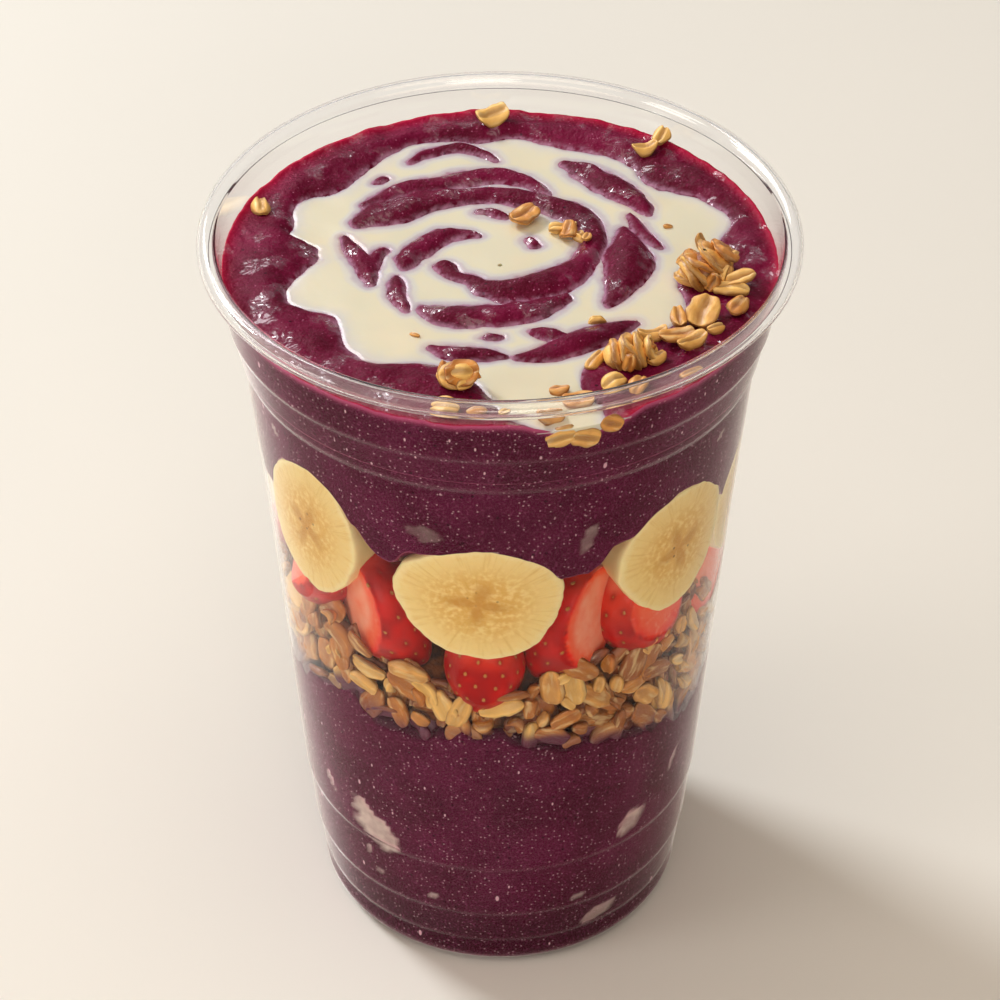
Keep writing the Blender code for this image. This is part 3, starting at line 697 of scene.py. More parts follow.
def make_crumb_shade_look():
    look = Look("granola_crumb_shade", Roughness=0.7)
    # Painted shade: a dark brown for the gaps between the oats, partly the granola's own brown.
    look.colour = look.blend(look.ramp(look.noise(1.8, 4), 0.35, 0.7), (58, 24, 10), (140, 78, 32))
    return look.done(Normal=look.bump(look.noise(1.2, 4), 0.5))


def make_floor_look():
    look = Look("pale_floor", Roughness=0.75, Specular_IOR_Level=0.2)
    look.colour = look.blend(look.noise(120, 3), (234, 230, 222), (237, 233, 226))
    return look.done()


# --- cup ---
CUP_COLUMNS = 160
RIM_LOOK_FROM = 131.5      # above it the plastic is glossy


def cup_path():
    """Middle of the plastic, from the centre of the floor out and up to the curled lip."""
    half = 0.5 * WALL
    rows = [(r, FOOT_RECESS + half) for r in np.linspace(0.8, FOOT_INNER - 2.2, 14)]
    for t in np.linspace(0, 1, 12):
        rows.append((FOOT_INNER - 2 + 2.2 * t,
                     half + FOOT_RECESS * (1 - smooth_step(t, 0, 1))))
    rows += [(r, half) for r in np.linspace(FOOT_INNER + 0.7, FOOT_RADIUS - 0.5, 6)]
    for turn in np.radians(np.linspace(-90, 0, 15)):
        rows.append((FOOT_RADIUS + (FOOT_CORNER - half) * cos(turn),
                     FOOT_CORNER + (FOOT_CORNER - half) * sin(turn)))
    rows += [(outer(z) - half, z) for z in wall_levels(4.4, 134.2)]
    bead = 1.3
    centre = (RIM_RADIUS - bead - half, CUP_HEIGHT - bead - half)
    for turn in np.radians(np.linspace(178, -100, 30)):
        rows.append((centre[0] + bead * cos(turn), centre[1] + bead * sin(turn)))
    return np.array(rows)


def offset_path(path, distance):
    """The path moved sideways, outward for a positive distance."""
    along = unit(np.gradient(path, axis=0))
    return path + distance * np.stack([along[:, 1], -along[:, 0]], -1)


def spun(profile, columns):
    """Rings from a profile of (radius, height)."""
    angle = steps(columns)
    rings = np.empty((len(profile), columns, 3))
    rings[..., :2] = polar(profile[:, 0, None], angle[None, :])
    rings[..., 2] = profile[:, 1, None]
    return rings


def make_cup(looks):
    """A thin shell: the outside runs from the middle of the floor up and over the lip."""
    path = cup_path()
    outside = offset_path(path, 0.5 * WALL)
    inside = offset_path(path, -0.5 * WALL)
    end = path[-1] + 0.6 * WALL * unit(path[-1] - path[-2])
    profile = np.vstack([outside, end, inside[::-1]])
    points, faces = turned(spun(profile, CUP_COLUMNS))
    half = len(outside) * CUP_COLUMNS
    picks = [2 if points[face[0]][2] > RIM_LOOK_FROM else int(face[0] > half) for face in faces]
    return piece("clear_cup", points, faces, looks, ["cup"], picks=picks)


# --- puree below ---
def pocket_share(angle, height, pockets, reach):
    """How strongly an air pocket shows at each place on the wall, 0 to 1."""
    total = np.zeros_like(height)
    place = np.stack([np.radians(angle) * reach, height, np.zeros_like(height)], -1)
    ragged = fractal(place.reshape(-1, 3), 2.4, 31, 3).reshape(height.shape)
    for middle, level, half_long, half_wide, slope, strength in pockets:
        x = np.radians(angle_between(angle, middle)) * reach
        y = height - level
        along, across = rolled(x, y, slope)
        far = np.hypot(along / half_long, across / half_wide) + 0.24 * ragged
        total = np.maximum(total, strength * smooth_step(-far, -1, -0.78))
    return total


def lower_edge(angle):
    """Ragged line where the lower puree meets the granola."""
    place = ring(36, angle, 0)
    return around(LOWER_EDGE, angle) + 1.5 * noise(place, 5, 3) + 1.1 * noise(place, 2, 4)


def make_lower_puree(look):
    columns = 256
    angle = steps(columns)
    edge = lower_edge(angle)
    path = offset_path(cup_path(), BITE["lower"] - 0.5 * WALL)
    base = path[path[:, 1] < 6]
    base = base[:np.argmax(base[:, 1]) + 1]
    rings = list(spun(base, columns))
    fixed = wall_levels(6.2, 47, coarse=5)
    levels = [np.full(columns, z) for z in fixed]
    levels += [47 + (edge - 47) * t for t in np.linspace(0, 1, 22)]
    rings += [ring(side(level, BITE["lower"]), angle, level) for level in levels]
    rings += [ring(side(edge, 0) * share, angle, GRANOLA_LOW + (edge - GRANOLA_LOW) * share)
              for share in (0.9, 0.7, 0.45, 0.2)]
    rings = np.array(rings)
    wall = slice(len(base), len(base) + len(levels))
    turn = np.broadcast_to(angle, rings.shape[:2])
    pocket = np.zeros(rings.shape[:2])
    pocket[wall] = pocket_share(turn[wall], rings[wall, :, 2], POCKETS_LOWER, 34)
    depth = 0.55 * np.clip(pocket, 0, 0.8)
    far = np.maximum(from_axis(rings), 1)
    rings[..., :2] *= (1 - depth / far)[..., None]
    points, faces = turned(rings)
    pale = np.append(pocket.ravel(), (0, 0))
    return piece("acai_lower", points, faces, [look], ["acai_bottom"], {"pocket": pale})


# --- oats ---
def flake_mesh(around_count, along_count):
    """Unit grid of a flake and its faces; the poles are the ends of its length."""
    u = np.linspace(0, 2 * pi, around_count, endpoint=False)
    v = np.linspace(0, pi, along_count + 2)[1:-1]
    v, u = np.meshgrid(v, u, indexing="ij")
    index = np.arange(v.size).reshape(v.shape)
    after = np.roll(index, -1, axis=1)
    quads = np.stack([index[:-1], index[1:], after[1:], after[:-1]], -1).reshape(-1, 4)
    faces = quads.tolist()
    faces += [[v.size, int(a), int(b)] for a, b in zip(index[0], after[0])]
    faces += [[v.size + 1, int(b), int(a)] for a, b in zip(index[-1], after[-1])]
    return (np.append(u.ravel(), (0, 0)), np.append(v.ravel(), (0, pi)), faces)


COARSE_FLAKE = flake_mesh(14, 9)
FINE_FLAKE = flake_mesh(22, 15)


def flake(rng, grid, length, width, thickness):
    """A rolled oat: flat oval with a crease along one side, a little bent and uneven."""
    u, v, faces = grid
    end = np.sin(v)
    x = 0.5 * length * np.cos(v)
    y = 0.5 * width * end ** 0.7 * np.cos(u) * (1 + 0.12 * np.cos(v) * rng.uniform(-1, 1))
    lift = np.sign(np.sin(u)) * np.abs(np.sin(u)) ** 0.75
    z = 0.5 * thickness * end ** 0.55 * lift
    crease = np.exp(-(y / (0.075 * width)) ** 2) * end ** 1.5 * (np.sin(u) > 0)
    z -= 0.5 * thickness * crease
    shoulder = np.exp(-((np.abs(y) - 0.2 * width) / (0.13 * width)) ** 2) * (np.sin(u) > 0)
    crease = np.maximum(crease, 0.6 * np.abs(np.cos(u)) ** 12)
    z += 0.2 * thickness * shoulder * end
    z += rng.uniform(-0.5, 0.9) * thickness * (2 * x / length) ** 2
    z += rng.uniform(-0.6, 0.6) * thickness * (2 * y / width) ** 2
    local = np.stack([x, y, z], -1)
    seed = int(rng.integers(1, 1000))
    shift = np.array((seed * 7.3, seed * 3.1, seed * 1.7))
    wobble = np.stack([noise(local + shift, 1.3, 5), noise(local + shift, 1.3, 6),
                       noise(local + shift, 1, 7)], -1)
    points = local + wobble * (0.035 * length, 0.055 * width, 0.16 * thickness)
    return points, faces, crease, (local + shift) * MM


def axes_from(normal, direction):
    """Rotation whose third axis is the normal and first axis lies near the direction."""
    normal = unit(normal)
    across = unit(np.cross(normal, direction))
    return np.stack([np.cross(across, normal), across, normal], 1)


def clamp_to_wall(points, bite):
    """Flatten what would stand through the wall against it."""
    radius = from_axis(points)
    limit = side(points[:, 2], bite)
    pull = np.minimum(1, limit / np.maximum(radius, 1e-6))
    result = points.copy()
    result[:, :2] *= pull[:, None]
    return result


def make_granola(oat_look, crumb_shade_look):
    """A dark core of crumbs, painted as shade between the oats, with oats packed over it, flat where
    they meet the wall.
    """
    columns = 128
    angle = steps(columns)
    low = around(LOWER_EDGE, angle) - 0.6
    high = around(GRANOLA_EDGE, angle) - 1.2
    rings = [ring(12, angle, low + 1), ring(side(low, 0) - 6, angle, low)]
    for t in np.linspace(0, 1, 22):
        level = low + (high - low) * t
        bulge = 0.7 * fractal(ring(34, angle, level), 4, 9, 3)
        radius = side(level, 0) - 2.9 - 1.6 * abs(2 * t - 1) ** 6 + bulge
        rings.append(ring(radius, angle, level))
    for radius in (26, 18, 9):
        place = ring(radius, angle, GRANOLA_MIDDLE)
        place[:, 2] += 0.7 * fractal(place, 5, 10, 3)
        rings.append(place)
    points, faces = turned(rings)
    piece("granola_crumbs_shade", points, faces, [crumb_shade_look], ["granola_layer"])

    heap = Heap()
    rng = np.random.default_rng(11)
    # each pass: (depth behind the wall, spacing round, spacing up, lean of the flakes)
    for depth, gap_round, gap_up, lean in ((1.6, 4.3, 3.3, 0.55), (0, 4.9, 3.4, 0.45)):
        for level in np.arange(49, 77, gap_up):
            count = int(2 * pi * 36 / gap_round)
            for i in range(count):
                turn = (i + rng.uniform(-0.4, 0.4) + 0.5 * (int(level / gap_up) % 2)) * 360 / count
                z = level + rng.uniform(-0.4, 0.4) * gap_up
                low = float(around(LOWER_EDGE, turn))
                high = float(around(GRANOLA_EDGE, turn))
                length, width = rng.uniform(5.6, 7.8), rng.uniform(3.2, 4.7)
                thickness = rng.uniform(1, 1.6)
                if rng.uniform() < 0.35:
                    length, width, thickness = 0.5 * length, 0.6 * width, 1.2 * thickness
                shape = flake(rng, COARSE_FLAKE, length, width, thickness)
                spin, tilt = rng.uniform(0, 2 * pi), rng.normal(0, lean)
                # Painted shade: flakes further behind the wall get a darker tone; the rest of the
                # tone is random.
                tone, stray = rng.uniform(0.2, 1) - 0.3 * depth, rng.uniform()
                if z < low - 0.5 - 2.5 * (stray > 0.93) or z > high + 0.8:
                    continue
                out, up = toward(radians(turn)), np.array((0, 0, 1))
                direction = cos(spin) * np.array((-out[1], out[0], 0)) + sin(spin) * up
                normal = cos(tilt) * out + sin(tilt) * np.cross(out, direction)
                points = shape[0] @ axes_from(normal, direction).T + out * 30 + up * z
                reach = from_axis(points) - side(points[:, 2], BITE["oat"])
                points = clamp_to_wall(points - out * (reach.max() + depth), BITE["oat"])
                stain = smooth_step(low + 3.2 - points[:, 2], -1, 3) * rng.uniform(0.4, 1)
                heap.add_flake(shape, points, tone, stain)
    heap.make("granola_oats", [oat_look])


# --- fruit ---
def press_to_wall(points, angle, height, bite):
    """Bend a piece made at the origin onto the wall: X along it, Z up, Y into the cup."""
    x, y, z = points.T
    level = height + z
    radius = side(level, bite) - np.maximum(y, 0)
    turn = angle + np.degrees(x / side(height, 0))
    return ring(radius, turn, level)


def make_banana(number, row, look):
    """A slice with a softly rounded edge, its round face pressed to the wall.

    One side of the face may lean into the cup, so that the rim shows beside it.
    """
    angle, level, wide, tall, roll, recess, skew = row
    columns = 120
    radius = 0.5 * BANANA_DIAMETER
    turn = np.arange(columns) * 2 * pi / columns
    uneven = (1 + 0.03 * np.sin(3 * turn + angle) + 0.015 * np.sin(5 * turn)
              + 0.008 * np.sin(11 * turn + 2 * angle) + 0.006 * np.sin(17 * turn + number)
              + 0.004 * np.sin(37 * turn + 3 * number))
    profile = [(scale, 0) for scale in np.linspace(0.06, 0.955, 15)]
    profile += [(0.975, 0.08), (0.988, 0.28), (0.996, 0.62), (1, 1.2)]
    profile += [(1 - 0.05 * t, 1.2 + (BANANA_THICKNESS - 2.2) * t)
                for t in np.linspace(0.15, 1, 8)]
    profile += [(0.935, BANANA_THICKNESS - 0.35), (0.90, BANANA_THICKNESS)]
    profile += [(scale, BANANA_THICKNESS) for scale in (0.7, 0.45, 0.2)]
    flat = np.column_stack([np.cos(turn), np.sin(turn)])
    rings = [at_level(scale * radius * uneven[:, None] * (wide, tall) * flat, depth)[:, (0, 2, 1)]
             for scale, depth in profile]
    points, faces = turned(rings, inward=True)
    place = np.vstack([*(at_level(scale * flat, depth / BANANA_THICKNESS)
                         for scale, depth in profile), (0, 0, 0), (0, 0, 1)])
    dent = 0.12 * noise(points + 40 * number, 5, 21)
    points[:, 1] += np.where(points[:, 1] > 0.3, dent, 0)
    points[:, 0], points[:, 2] = rolled(points[:, 0], points[:, 2], roll)
    leaning = points[:, 0] * copysign(1, recess) / (radius * wide)
    points[:, 0] += skew * points[:, 1] / BANANA_THICKNESS
    points[:, 1] += abs(recess) * smooth_step(leaning, -0.5, 1.3)
    points = press_to_wall(points, angle, level, BITE["banana"])
    piece(f"banana_{number}", points, faces, [look], [f"banana_slice_{number}"],
          {"face": place}, sharp=50)


def sphere_grid(columns, rows):
    """Directions over a sphere, ring by ring from below, and its faces."""
    rise = np.linspace(-0.5 * pi, 0.5 * pi, rows + 2)[1:-1]
    turn = steps(columns)
    points, faces = turned([ring(cos(a), turn, sin(a)) for a in rise])
    points[-2:] = ((0, 0, -1), (0, 0, 1))
    return points, faces


def seed_places(rng):
    """Directions of the seeds over a berry, in staggered rows."""
    rows = []
    for i, rise in enumerate(np.radians(np.arange(-70, 62, 18.5))):
        count = max(4, round(15 * cos(rise)))
        for j in range(count):
            turn = 2 * pi * (j + 0.5 * (i % 2) + rng.uniform(-0.12, 0.12)) / count
            lift = rise + rng.uniform(-0.04, 0.04)
            rows.append(toward(turn, lift))
    return np.array(rows)


def berry_form(directions, row):
    """Points of a berry for directions on a unit sphere, before it meets the wall."""
    angle, _, size = row[:3]
    up = directions[:, 2]
    narrow = 1 - 0.11 * (1 - up) ** 2 + 0.02 * np.sin(3 * np.arctan2(
        directions[:, 1], directions[:, 0]) + angle)
    half = 0.5 * size * np.array((STRAWBERRY_WIDTH, STRAWBERRY_DEPTH, STRAWBERRY_LENGTH))
    points = directions * half
    points[:, :2] *= narrow[:, None]
    return points


def place_berry(points, row):
    """Lean, slice and set a berry against the wall. Says how deep each point was cut."""
    angle, level, size, lean, cut, cut_far = row
    x, z = rolled(points[:, 0], points[:, 2], lean)
    points = np.column_stack([x, points[:, 1], z])
    normal = unit(cut)
    over = np.maximum(0, points @ normal - cut_far)
    points = points - over[:, None] * normal
    points[:, 1] += 5 * size
    return press_to_wall(points, angle, level, BITE["berry"]), over


def make_berry(number, row, look, seeds):
    rng = np.random.default_rng(100 + number)
    directions, faces = BERRY_GRID
    spots = seed_places(rng)
    pit = np.zeros(len(directions))
    for spot in spots:
        near = np.linalg.norm(directions - spot, axis=1)
        pit = np.maximum(pit, np.exp(-(near / 0.07) ** 2))
    points = berry_form(directions, row)
    points = points * (1 - 0.02 * pit + 0.012 * noise(points + 30 * number, 6, 41))[:, None]
    points, over = place_berry(points, row)
    cut = smooth_step(over, 0.02, 0.35)
    centre = 1 - 0.8 * smooth_step(over, 0.2, 3.2)
    # The pit values paint shade into the seed pits.
    piece(f"berry_{number}", points, faces, [look], [f"strawberry_{number}"],
          {"cut": cut, "along": directions[:, 2], "pit": pit * (1 - cut) * 0.7,
           "core": centre})

    grain, seed_faces = SEED_GRID
    shaped = grain * (0.48, 0.3, 0.18)
    shaped[:, 1] *= 1 - 0.35 * grain[:, 0]
    for spot in spots:
        across = unit(np.cross((0, 0, 1), spot))
        upward = np.cross(spot, across)
        near = unit(np.stack([spot, spot + 0.04 * across, spot + 0.04 * upward]))
        placed, over = place_berry(berry_form(near, row) * 0.975, row)
        if over[0] > 0:
            continue
        rise = placed[2] - placed[0]
        normal = np.cross(placed[1] - placed[0], rise)
        put = shaped @ axes_from(normal, rise).T + placed[0]
        seeds.add(clamp_to_wall(put, BITE["berry"] + 0.006), seed_faces)


BERRY_GRID = sphere_grid(80, 54)
SEED_GRID = sphere_grid(7, 3)


# --- puree above ---
def banana_top(angle):
    """Height of the upper edge of the bananas on the wall, 0 where there is none."""
    top = np.full_like(angle, 0)
    for middle, level, wide, tall, roll, _, _ in BANANAS:
        x = np.radians(angle_between(angle, middle)) * side(level, 0)
        turn = np.linspace(0, 2 * pi, 240)
        radius = 0.5 * BANANA_DIAMETER
        u, v = radius * wide * np.cos(turn), radius * tall * np.sin(turn)
        u, v = rolled(u, v, roll)
        upper = v > np.interp(u, (u.min(), u.max()), (v[np.argmin(u)], v[np.argmax(u)]))
        order = np.argsort(u[upper])
        edge = np.interp(x, u[upper][order], v[upper][order], left=-99, right=-99)
        top = np.maximum(top, level + edge)
    return top


def upper_edge(angle):
    """Ragged line where the upper puree ends on the wall."""
    place = ring(40, angle, 0)
    free = around(UPPER_EDGE, angle) + 0.6 * noise(place, 3, 51) + 0.35 * noise(place, 1.3, 52)
    held = banana_top(angle) - 0.9 + 0.45 * noise(place, 3.5, 53) + 0.2 * noise(place, 1.3, 54)
    return np.maximum(free, held)


def make_upper_puree(looks):
    columns = 384
    angle = steps(columns)
    edge = upper_edge(angle)
    rings = []
    for radius, level in ((8, 73), (20, 73.2), (CORE_RADIUS - 1, 74),
                          (CORE_RADIUS, 78), (CORE_RADIUS, 83), (CORE_RADIUS, CORE_SHOULDER)):
        place = ring(radius, angle, level)
        place[:, :2] *= (1 + 0.02 * fractal(place, 7, 61))[:, None]
        rings.append(place)
    for t in np.linspace(0.12, 0.97, 8):
        level = CORE_SHOULDER + (edge - CORE_SHOULDER) * t ** 1.6 + 0.8 * sin(pi * t)
        radius = CORE_RADIUS + (side(edge, 0) - 0.25 - CORE_RADIUS) * t
        rings.append(ring(radius, angle, level))
    under = len(rings) - 1
    for t in np.linspace(0, 1, 66):
        level = edge + (SEAM + 0.05 - edge) * t
        radius = side(level, BITE["upper"] - 0.3 * (1 - min(t / 0.02, 1)))
        rings.append(ring(radius, angle, level))
    rings = np.array(rings + [ring(radius, angle, SEAM + 0.05) for radius in (36, 24, 12)])
    turn = np.broadcast_to(angle, rings.shape[:2])
    pocket = pocket_share(turn, rings[..., 2], POCKETS_UPPER, 40)
    points, faces = turned(rings)
    pale = np.append(pocket.ravel(), (0, 0))
    picks = [int(face[0] // columns < under) for face in faces]
    return piece("acai_upper", points, faces, looks, ["acai_top"],
                 {"pocket": pale, "rim": 0 * pale, "shore": 0 * pale}, picks=picks)


# --- top relief ---
def ridge_discs():
    """Centre and radius of the discs that the ridges of the swirl are made of."""
    discs = []
    for rows in RIDGES:
        angle, radius, half = curve(rows, 14).T
        discs.append(np.column_stack([polar(radius, angle) + SWIRL, np.maximum(half, 0.2)]))
    return np.vstack(discs)


def nearest(places, discs):
    """Distance outside the nearest disc, and that disc's radius."""
    best = np.full(len(places), 1e9)
    size = np.zeros(len(places))
    for x, y, radius in discs:
        far = np.hypot(places[:, 0] - x, places[:, 1] - y) - radius
        closer = far < best
        best[closer] = far[closer]
        size[closer] = radius
    return best, size


RIDGE_DISCS = ridge_discs()
FOLD_LINES = [(ring(*curve(rows, 12).T[::-1], 0), half) for rows, half in FOLDS]


def puree_height(places):
    """Height of the puree's top at each (x, y)."""
    flat = at_level(places, 0)
    warp = np.column_stack([0.75 * noise(flat, 8, 71) + 0.28 * noise(flat, 2.2, 72),
                            0.75 * noise(flat, 8, 73) + 0.28 * noise(flat, 2.2, 74)])
    moved = places + warp
    about = moved - SWIRL
    turn = np.degrees(np.arctan2(about[:, 1], about[:, 0]))
    inside = 0.8 * (around(POOL, turn) - from_axis(about))
    bed = MILK_LEVEL - MILK_DEPTH * (1 - np.exp(-np.maximum(inside, 0) / 1.5))
    bank = MILK_LEVEL + PUREE_RISE * (1 - np.exp(np.minimum(inside, 0) / 1.4))
    height = np.where(inside > 0, bed, bank)
    lumps = 0.2 * fractal(flat, 9, 75, 2) + 0.08 * fractal(flat, 2.6, 76, 2)
    height += lumps * smooth_step(-inside, 0.2, 2.5)
    icy = 0.16 * fractal(flat, 3.2, 78, 2) + 0.07 * noise(flat, 1.3, 79)
    for line, half in FOLD_LINES:
        far, _ = nearest(moved, line)
        height += 0.75 * np.exp(-(far / half) ** 2) * smooth_step(-inside, -0.2, 1.5)
    far, half = nearest(moved, RIDGE_DISCS)
    crown = 0.3 + 0.38 * half
    share = np.clip(-far / np.maximum(half, 0.2), 0, 1)
    over = crown * np.sin(0.5 * pi * share ** 0.85) * (1 + 0.18 * noise(flat, 3, 77))
    under = 0.42 * far + 0.5 * np.maximum(far - 0.9, 0) ** 1.5
    ridge = MILK_LEVEL + np.where(far < 0, over, -under)
    height = np.maximum(height, ridge)
    height += icy * smooth_step(height, MILK_LEVEL + 0.1, MILK_LEVEL + 0.6)
    axis_far = from_axis(places)
    to_wall = np.maximum(side(FILL_HEIGHT, 0) - axis_far, 0)
    dry = smooth_step(-inside, -1, 1)
    return height + 0.55 * np.exp(-to_wall / 0.45) * dry


def front_dip(angle):
    """How far the milk runs down between the puree and the wall at the front."""
    return 1.8 * np.exp(-(angle_between(angle, -69.5) / 8) ** 4)


TOP_COLUMNS = 448
TOP_RINGS = 112


def top_grid():
    """Places over the top, ring by ring from the wall to the middle, and puree heights."""
    angle = steps(TOP_COLUMNS)
    limit = side(FILL_HEIGHT, BITE["upper"])
    share = 1 - np.arange(TOP_RINGS) / TOP_RINGS
    places = polar((limit * share)[:, None], angle[None, :])
    heights = puree_height(places.reshape(-1, 2)).reshape(places.shape[:2])
    near_wall = np.exp(-((1 - share) * limit / 1.2))
    heights -= front_dip(angle)[None, :] * near_wall[:, None]
    places *= (side(heights, BITE["upper"]) / limit)[..., None]
    return angle, places, heights


def make_top_puree(angle, places, heights, looks):
    """The upper puree from SEAM up, with the swirl, the folds and the bed of the milk."""
    columns = len(angle)
    brim = heights[0]
    rings = [ring(radius, angle, SEAM) for radius in (14, 30)]
    for t in np.linspace(0, 1, 40):
        level = SEAM + (brim - SEAM) * t
        rings.append(ring(side(level, BITE["upper"]), angle, level))
    wall_rows = len(rings)
    rings += [at_level(*row) for row in zip(places[1:], heights[1:])]
    points, faces = turned(rings)
    far = from_axis(points)
    # Painted light: where the top meets the wall the puree is marked to glow crimson.
    rim = np.exp(-np.maximum(side(points[:, 2], BITE["upper"]) - far, 0) / 0.75)
    rim *= smooth_step(points[:, 2], brim.min() - 1, brim.min())
    high = np.array([face[0] for face in faces]) // columns
    top = (high >= wall_rows - 1) & (high < len(rings))
    picks = np.where(top, 1, 0)
    picks[-columns:] = 1
    line = np.tile(brim, len(rings))
    under = np.append(line, (brim.mean(), brim.mean())) - points[:, 2]
    # Painted light: the wall just under the top edge is marked to glow pink, as if lit through the
    # thin puree.
    glow_band = np.exp(-(np.maximum(under, 0) / 0.8) ** 2)
    shore = np.exp(-((points[:, 2] - MILK_LEVEL) / 0.28) ** 2)
    return piece("acai_swirl", points, faces, looks,
                 attributes={"rim": rim, "brim": 0.8 * glow_band, "shore": shore,
                             "pocket": np.zeros(len(points))}, picks=picks)


def make_milk(places, heights, look):
    """A level sheet of milk over the hollows of the puree, closed below."""
    rows, columns = heights.shape
    flat = at_level(places.reshape(-1, 2), 0)
    depth = MILK_LEVEL - heights
    swell = (0.1 * fractal(flat, 10, 81, 2)).reshape(rows, columns)
    top = MILK_LEVEL + swell - 0.16 * np.exp(-np.maximum(depth, 0) / 0.12)
    bottom = np.minimum(top - 0.15, heights - 0.25)
    index = np.arange(rows * columns).reshape(rows, columns)
    after = np.roll(index, -1, axis=1)
    deep_after = np.roll(depth, -1, axis=1)
    deepest = np.maximum.reduce([depth[:-1], depth[1:], deep_after[:-1], deep_after[1:]])
    quads = np.stack([index[:-1], after[:-1], after[1:], index[1:]], -1)[deepest > -0.1]
    used, inverse = np.unique(quads, return_inverse=True)
    quads = inverse.reshape(-1, 4)
    count = len(used)
    xy = places.reshape(-1, 2)[used]
    points = np.vstack([at_level(xy, top.ravel()[used]), at_level(xy, bottom.ravel()[used])])
    edges = np.concatenate([quads[:, [i, (i + 1) % 4]] for i in range(4)])
    key = np.sort(edges, axis=1)
    _, first, times = np.unique(key[:, 0] * count + key[:, 1], return_index=True,
                                return_counts=True)
    border = edges[first[times == 1]]
    skirt = np.column_stack([border[:, 1], border[:, 0], border[:, 0] + count,
                             border[:, 1] + count])
    faces = quads.tolist() + (quads[:, ::-1] + count).tolist() + skirt.tolist()
    at_wall = np.tile(used < columns, 2)
    reach = side(points[:, 2], BITE["milk"]) / from_axis(points)
    points[at_wall, :2] *= reach[at_wall, None]
    shown = np.tile(depth.ravel()[used], 2)
    shown[at_wall] = np.maximum(shown[at_wall], 0.6)
    return piece("milk_pool", points, faces, [look], ["condensed_milk"],
                 {"depth": shown}, sharp=60)


# --- granola on top ---
def resting_height(x, y):
    """Height of what shows at (x, y): milk or puree."""
    return max(float(puree_height(np.array([[x, y]]))[0]), MILK_LEVEL)


def make_cluster(number, row, look):
    """A lump of baked oats: flakes stacked on edge over a rough core, and a few beside it."""
    x, y, diameter, stack = row
    rng = np.random.default_rng(300 + number)
    under = resting_height(x, y) - 0.25
    low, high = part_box(f"granola_cluster_{number}")
    tall = (high.z - low.z) / MM
    half = np.array((0.5 * diameter, 0.5 * diameter, 0.5 * tall + 0.3))
    centre = np.array((x, y, under + 0.45 * tall))
    heap = Heap()
    directions, faces = sphere_grid(20, 12)
    core = directions * half * 0.7
    core += directions * (0.4 * noise(directions * 3 + number, 0.9, 91))[:, None]
    # Painted shade: the core is dark, for the gaps between the flakes.
    heap.add(core + centre, faces, crease=0.5, local=core * MM, tone=0.35, stain=0)
    stack = unit(stack)
    upright = np.cross(stack, (0.3, -0.9, 0.2))
    count = round(diameter / 1.3)
    for i in range(count):
        along = 2 * (i + 0.5) / count - 1
        cap = sqrt(1 - 0.82 * along ** 2)
        shape = flake(rng, FINE_FLAKE, 0.96 * diameter * cap, 0.84 * diameter * cap,
                      rng.uniform(1.3, 1.8))
        normal = stack + rng.normal(0, 0.1, 3)
        points = shape[0] @ axes_from(normal, upright + rng.normal(0, 0.15, 3)).T
        points = (points + stack * along * 0.5 * diameter) * (1, 1, 0.82) + centre
        heap.add_flake(shape, points, rng.uniform(0.6, 1))
    for i in range(round(0.6 * diameter)):
        turn, rise = 2.4 * i + rng.uniform(-0.4, 0.4), rng.uniform(-0.5, 0.55)
        out = toward(turn, rise)
        length = diameter * rng.uniform(0.32, 0.48)
        shape = flake(rng, FINE_FLAKE, length, 0.66 * length, rng.uniform(1, 1.4))
        normal = out + rng.normal(0, 0.4, 3)
        points = shape[0] @ axes_from(normal, np.cross(out, rng.normal(size=3))).T
        points = points + centre + out * half * 0.85
        heap.add_flake(shape, points, rng.uniform(0.5, 1))
    for i, points in enumerate(heap.points):
        points[:, 2] = np.clip(points[:, 2], under - 0.1, under + tall + 0.8)
        heap.points[i] = clamp_to_wall(points, 0.1)
    heap.make(f"cluster_{number}", [look], [f"granola_cluster_{number}"])


def make_loose_oats(look):
    """Single oats on the top; one that lies low stands on edge against the wall."""
    heap = Heap()
    rng = np.random.default_rng(400)
    for x, y, length, width, heading, lift in LOOSE_OATS:
        thickness = rng.uniform(1.2, 1.7) * min(1, length / 4)
        shape = flake(rng, FINE_FLAKE, 0.92 * length, 0.88 * width, thickness)
        direction = toward(radians(heading))
        direction[2] = rng.uniform(-0.1, 0.1)
        normal = (rng.normal(0, 0.16), rng.normal(0, 0.16) - 0.1, 1)
        place = np.array((x, y, resting_height(x, y) + 0.3 * thickness + lift))
        bite = 0.1
        if lift < -1:
            bite, normal = 0.24, np.array((x, y, 0)) / hypot(x, y)
            direction = (-normal[1], normal[0], direction[1])
            place[:2] = normal[:2] * side(place[2], bite)
        points = shape[0] @ axes_from(normal, direction).T + place
        heap.add_flake(shape, clamp_to_wall(points, bite), rng.uniform(0.65, 1))
    heap.make("loose_oats", [look])


# --- studio ---
CAMERA_DISTANCE = 572.8
CAMERA_RISE = radians(38.47)
CAMERA_TARGET = 81.02     # height on the cup's axis


def aimed(obj, place, height):
    """Put a lamp or camera in its place, looking at a height on the cup's axis."""
    obj.location = Vector(place) * MM
    way = Vector((0, 0, height)) - Vector(place)
    obj.rotation_euler = way.to_track_quat("-Z", "Y").to_euler()
    bpy.context.scene.collection.objects.link(obj)
    return obj


def lamp(name, place, size, watts, colour, aim=70):
    """A round area lamp that points at a height on the cup's axis."""
    data = bpy.data.lights.new(name, "AREA")
    data.shape = "DISK"
    data.size = size * MM
    data.energy = watts
    data.color = colour
    return aimed(bpy.data.objects.new(name, data), place, aim)


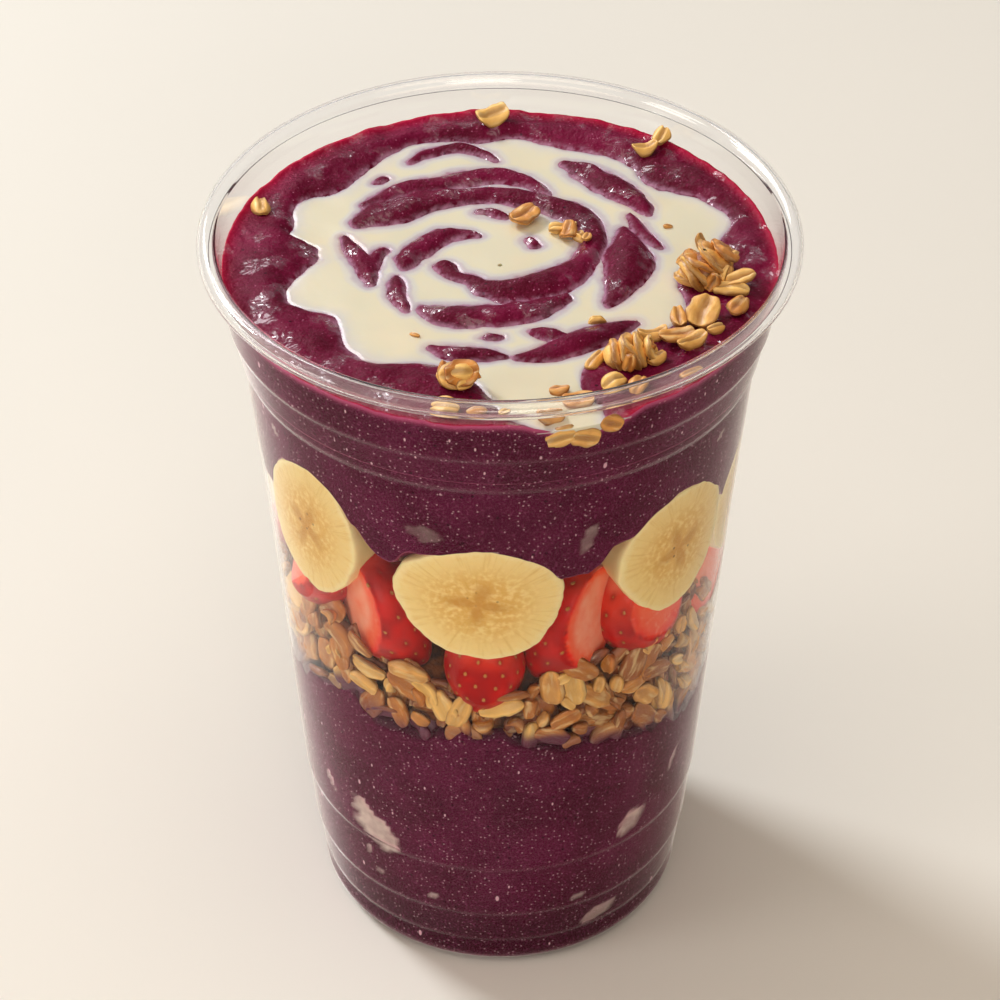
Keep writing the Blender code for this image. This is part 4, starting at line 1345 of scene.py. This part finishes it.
def make_studio():
    camera = bpy.data.cameras.new("camera")
    camera.lens = 120
    camera.sensor_width = 36
    camera.clip_start = 0.01
    back = (0, -CAMERA_DISTANCE * cos(CAMERA_RISE),
            CAMERA_TARGET + CAMERA_DISTANCE * sin(CAMERA_RISE))
    bpy.context.scene.camera = aimed(bpy.data.objects.new("camera", camera), back, CAMERA_TARGET)
    lamp("key", (-950, 760, 1080), 420, 17.8, (0.95, 0.985, 1))
    lamp("overhead", (0, -200, 1300), 1100, 6, (1, 0.88, 0.76))
    lamp("fill", (150, -1300, 560), 700, 4.9, (1, 0.92, 0.81))
    lamp("side", (-1250, -450, 520), 600, 4.2, (1, 0.96, 0.92))
    # a window behind to the left, which shows only as a soft gloss on what is wet
    window = lamp("window", (-430, 960, 1000), 560, 6, (1, 0.97, 1), 120)
    window.visible_diffuse = window.visible_transmission = False
    world = bpy.data.worlds.new("studio")
    world.use_nodes = True
    nodes, links = world.node_tree.nodes, world.node_tree.links
    sky = nodes["Background"]
    # the room looks bright where it mirrors or shows through plastic, and lights softly
    paths = nodes.new("ShaderNodeLightPath")
    colour = nodes.new("ShaderNodeMix")
    colour.data_type = "RGBA"
    colour.inputs[6].default_value = (0.93, 0.92, 0.96, 1)
    colour.inputs[7].default_value = (1, 0.86, 0.70, 1)
    links.new(paths.outputs["Is Diffuse Ray"], colour.inputs[0])
    links.new(colour.outputs[2], sky.inputs["Color"])
    shown = nodes.new("ShaderNodeMapRange")
    shown.inputs["To Min"].default_value = 0.6
    shown.inputs["To Max"].default_value = 0.17
    links.new(paths.outputs["Is Diffuse Ray"], shown.inputs["Value"])
    links.new(shown.outputs[0], sky.inputs["Strength"])
    bpy.context.scene.world = world
    mesh = bpy.data.meshes.new("floor")
    reach = 4
    mesh.from_pydata([(-reach, -reach, 0), (reach, -reach, 0), (reach, reach, 0),
                      (-reach, reach, 0)], [], [(0, 1, 2, 3)])
    mesh.materials.append(make_floor_look())
    floor = bpy.data.objects.new("floor", mesh)
    floor.location.z = -0.0001
    bpy.context.scene.collection.objects.link(floor)
    bpy.context.scene.view_settings.view_transform = "Standard"


def main():
    puree_wall, puree_top = make_wall_puree(), make_open_puree()
    oats = make_granola_look()
    make_cup([make_plastic("clear_outside", 0.85, 0), make_plastic("clear_inside", 0, 0),
              make_plastic("clear_rim", 0.03, 0.8)])
    make_lower_puree(puree_wall)
    make_granola(oats, make_crumb_shade_look())
    berry_look, banana_look = make_berry_look(), make_banana_look()
    seeds = Heap()
    for number, row in enumerate(STRAWBERRIES, start=1):
        make_berry(number, row, berry_look, seeds)
    seeds.make("berry_seeds", [make_seed_look()])
    for number, row in enumerate(BANANAS, start=1):
        make_banana(number, row, banana_look)
    make_upper_puree([puree_wall, puree_top])
    angle, places, heights = top_grid()
    make_top_puree(angle, places, heights, [puree_wall, puree_top])
    make_milk(places, heights, make_milk_look())
    for number, row in enumerate(CLUSTERS, start=1):
        make_cluster(number, row, oats)
    make_loose_oats(oats)
    make_studio()


main()
